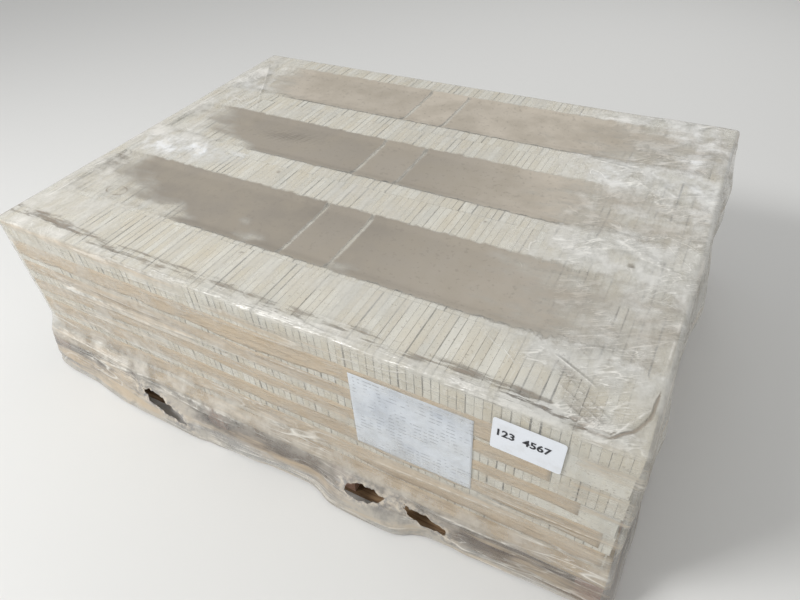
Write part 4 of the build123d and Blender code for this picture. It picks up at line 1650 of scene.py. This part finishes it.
@dataclass
class Papers:
    """The packing list under the film and the label on it."""

    stack: Stack
    cell: float = 0.006
    label_text: str = "123  4567"
    text_height: float = 0.029
    label_turn: float = -0.03

    def packing_list(self, paper: bpy.types.Material) -> bpy.types.Object:
        """Builds the list as a grid with crumpled folds, never behind its own place.

        Args:
            paper: The paper's material.

        Returns:
            The piece, which replaces the frame's packing list.
        """
        low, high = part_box("packing_list")
        nx = round((high.x - low.x) / self.cell) + 1
        nz = round((high.z - low.z) / self.cell) + 1
        x, z = np.meshgrid(np.linspace(low.x, high.x, nx), np.linspace(low.z, high.z, nz), indexing="xy")
        place = np.stack([x.ravel(), np.zeros(x.size), z.ravel()], axis=1)
        lift = 0.0006 * creases(place, (0.08, 1, 0.05), 81, 2.5)
        y = high.y - 0.0008 - lift
        piece = mesh_piece("packing_list_paper", np.stack([place[:, 0], y, place[:, 2]], axis=1), grid_faces(nz, nx))
        solid = piece.modifiers.new("paper", "SOLIDIFY")
        solid.thickness = 0.0002
        piece.data.materials.append(paper)
        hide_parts("packing_list")
        return piece

    def label(self, stock: bpy.types.Material, ink: bpy.types.Material) -> list[bpy.types.Object]:
        """Builds the label with rounded corners, and its plain numbers.

        Args:
            stock: The label's material.
            ink: The numbers' material.

        Returns:
            The label and the numbers.
        """
        low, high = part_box("label")
        middle = Vector(((low.x + high.x) / 2, 0.0, (low.z + high.z) / 2))
        half = np.array([(high.x - low.x) / 2, (high.z - low.z) / 2])
        turn = np.array([[math.cos(self.label_turn), -math.sin(self.label_turn)],
                         [math.sin(self.label_turn), math.cos(self.label_turn)]])
        u, v = np.meshgrid(np.linspace(-1, 1, 25), np.linspace(-1, 1, 17), indexing="xy")
        flat = np.stack([u.ravel(), v.ravel()], axis=1) * half
        corner = np.maximum(np.abs(flat) - (half - 0.006), 0.0)
        over = np.linalg.norm(corner, axis=1)
        shrink = np.where(over > 0.006, 0.006 / np.maximum(over, 1e-9), 1.0)
        flat = np.sign(flat) * (np.minimum(np.abs(flat), half - 0.006) + corner * shrink[:, None])
        flat = flat @ turn.T
        face = low.y + 0.0003
        points = np.stack([flat[:, 0] + middle.x, np.full(len(flat), face), flat[:, 1] + middle.z], axis=1)
        points[:, 1] -= 0.0003 * creases(points, (0.08, 1, 0.05), 91)
        piece = mesh_piece("front_label", points, grid_faces(17, 25), shade_smooth=False)
        solid = piece.modifiers.new("stock", "SOLIDIFY")
        solid.thickness = 0.0003
        piece.data.materials.append(stock)
        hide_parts("label")
        curve = bpy.data.curves.new("label_numbers", "FONT")
        curve.body = self.label_text
        curve.size = self.text_height
        curve.align_x = "CENTER"
        curve.align_y = "CENTER"
        curve.offset = 0.0007
        maker = bpy.data.objects.new("label_numbers_curve", curve)
        bpy.context.scene.collection.objects.link(maker)
        bpy.context.view_layer.update()
        mesh = bpy.data.meshes.new_from_object(maker.evaluated_get(bpy.context.evaluated_depsgraph_get()))
        bpy.data.objects.remove(maker)
        place = Matrix.Translation((middle.x - 0.010, face - 0.0009, middle.z + 0.007))
        stand = Matrix.Rotation(math.pi / 2, 4, "X") @ Matrix.Rotation(self.label_turn, 4, "Z")
        mesh.transform(place @ stand)
        numbers = bpy.data.objects.new("label_numbers", mesh)
        mesh.materials.clear()
        mesh.materials.append(ink)
        bpy.context.scene.collection.objects.link(numbers)
        return [piece, numbers]


@dataclass
class Pallet:
    """The wooden pallet: the frame's own boards and stringers, dressed as sawn wood."""

    board_grain: tuple[float, float, float] = (1.0, 13.0, 13.0)
    stringer_grain: tuple[float, float, float] = (13.0, 1.0, 13.0)

    def dress(self, effects: Effects) -> list[bpy.types.Object]:
        """Gives every board and stringer its wood, and returns them."""
        boards = SawnWood(name="sawn_boards", along=self.board_grain).build(effects)
        # Darker wood for the bottom boards: dirt, and painted shade of the pallet's dark inside.
        dirty_and_shaded = SawnWood(name="dirty_and_shaded_boards", along=self.board_grain, early=srgb(150, 124, 92),
                          late=srgb(112, 84, 58), weathered=srgb(104, 92, 78)).build(effects)
        blocks = SawnWood(name="sawn_stringers", along=self.stringer_grain, early=srgb(192, 156, 136),
                          late=srgb(152, 112, 94)).build(effects)
        dressed = []
        for name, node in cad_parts.items():
            if "board" in name or "stringer" in name:
                node.data.materials.clear()
                wood = blocks if "stringer" in name else dirty_and_shaded if "bottom" in name else boards
                node.data.materials.append(wood)
                dressed.append(node)
        return dressed


@dataclass(frozen=True)
class Studio:
    """Camera at the photograph's viewing angle, plain floor and soft lights."""

    place: tuple[float, float, float] = (0.8621, -1.3959, 1.5336)
    yaw: float = math.radians(-30.825)
    pitch: float = math.radians(41.998)
    roll: float = math.radians(-3.875)
    focal_px: float = 610.19
    image_width: float = 800.0
    sensor: float = 36.0
    world_strength: float = 0.46
    backdrop_strength: float = 0.66
    floor_radius: float = 30.0
    floor_corners: int = 96

    def camera(self) -> None:
        """Puts the camera in place, turned by its yaw, pitch and roll."""
        forward = Vector((math.sin(self.yaw) * math.cos(self.pitch),
                          math.cos(self.yaw) * math.cos(self.pitch), -math.sin(self.pitch)))
        right = Vector((math.cos(self.yaw), -math.sin(self.yaw), 0.0))
        up = right.cross(forward)
        side = right * math.cos(self.roll) + up * math.sin(self.roll)
        above = up * math.cos(self.roll) - right * math.sin(self.roll)
        data = bpy.data.cameras.new("camera")
        data.sensor_width = self.sensor
        data.lens = self.focal_px / self.image_width * self.sensor
        data.clip_start, data.clip_end = 0.05, 60.0
        camera = bpy.data.objects.new("camera", data)
        turn = Matrix((side, above, -forward)).transposed()
        camera.matrix_world = Matrix.Translation(self.place) @ turn.to_4x4()
        bpy.context.scene.collection.objects.link(camera)
        bpy.context.scene.camera = camera

    @staticmethod
    def lamp(name: str, place: Sequence[float], size: float, power: float) -> None:
        """A square area lamp aimed at the middle of the stack."""
        data = bpy.data.lights.new(name, "AREA")
        data.size = size
        data.energy = power
        lamp = bpy.data.objects.new(name, data)
        lamp.location = place
        aim = Vector((0.0, 0.0, 0.3)) - Vector(place)
        lamp.rotation_euler = aim.to_track_quat("-Z", "Y").to_euler()
        bpy.context.scene.collection.objects.link(lamp)

    def build(self, floor: bpy.types.Material) -> None:
        """Builds the camera, the lamps, the world and the floor."""
        self.camera()
        self.lamp("key", (-2.3, -3.1, 4.05), 1.4, 194.0)
        self.lamp("fill", (3.5, -2.5, 3.0), 3.0, 14.0)
        self.lamp("back", (0.5, 3.5, 3.2), 2.5, 30.0)
        world = bpy.data.worlds.new("studio")
        world.use_nodes = True
        shade = world.node_tree.nodes["Background"]
        shade.inputs["Color"].default_value = (1.0, 1.0, 1.0, 1.0)
        nodes = Nodes(world.node_tree)
        path = nodes.add("ShaderNodeLightPath")
        seen = path.outputs["Is Camera Ray"]
        for kind in ("Is Glossy Ray", "Is Transmission Ray"):
            seen = nodes.math("MAXIMUM", seen, path.outputs[kind])
        strength = nodes.ramp(seen, 0.0, 1.0, self.world_strength, self.backdrop_strength)
        nodes.put(strength, shade.inputs["Strength"])
        bpy.context.scene.world = world
        turn = np.linspace(0.0, 2.0 * math.pi, self.floor_corners, endpoint=False)
        corners = self.floor_radius * np.stack([np.cos(turn), np.sin(turn), np.zeros_like(turn)], axis=1)
        ground = mesh_piece("floor", corners, np.arange(self.floor_corners)[None, :], shade_smooth=False)
        ground.data.materials.append(floor)


def main() -> None:
    """Builds the sub-assemblies in order and reports each piece."""
    logging.basicConfig(level=logging.INFO, format="%(name)s: %(message)s")
    effects = Effects()
    stack = Stack.from_frame()
    pieces = BrickCourses(stack).build(FiredClay().build(effects))
    pieces += SlipSheets(stack).build(Kraft().build(effects))
    hood = StretchHood(stack).build(ClearFilm().build(effects))
    papers = Papers(stack)
    pieces += [hood, papers.packing_list(PrintedPaper().build(effects))]
    pieces += papers.label(LabelStock().build(effects), Ink().build(effects))
    for piece in pieces:
        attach(piece, "root")
        log.info("%s: %d faces", piece.name, len(piece.data.polygons))
    for node in Pallet().dress(effects):
        log.info("%s dressed", node.name)
    Studio().build(PaleFloor().build(effects))
    bpy.context.scene.view_settings.view_transform = "Standard"


if __name__ == "__main__":
    main()
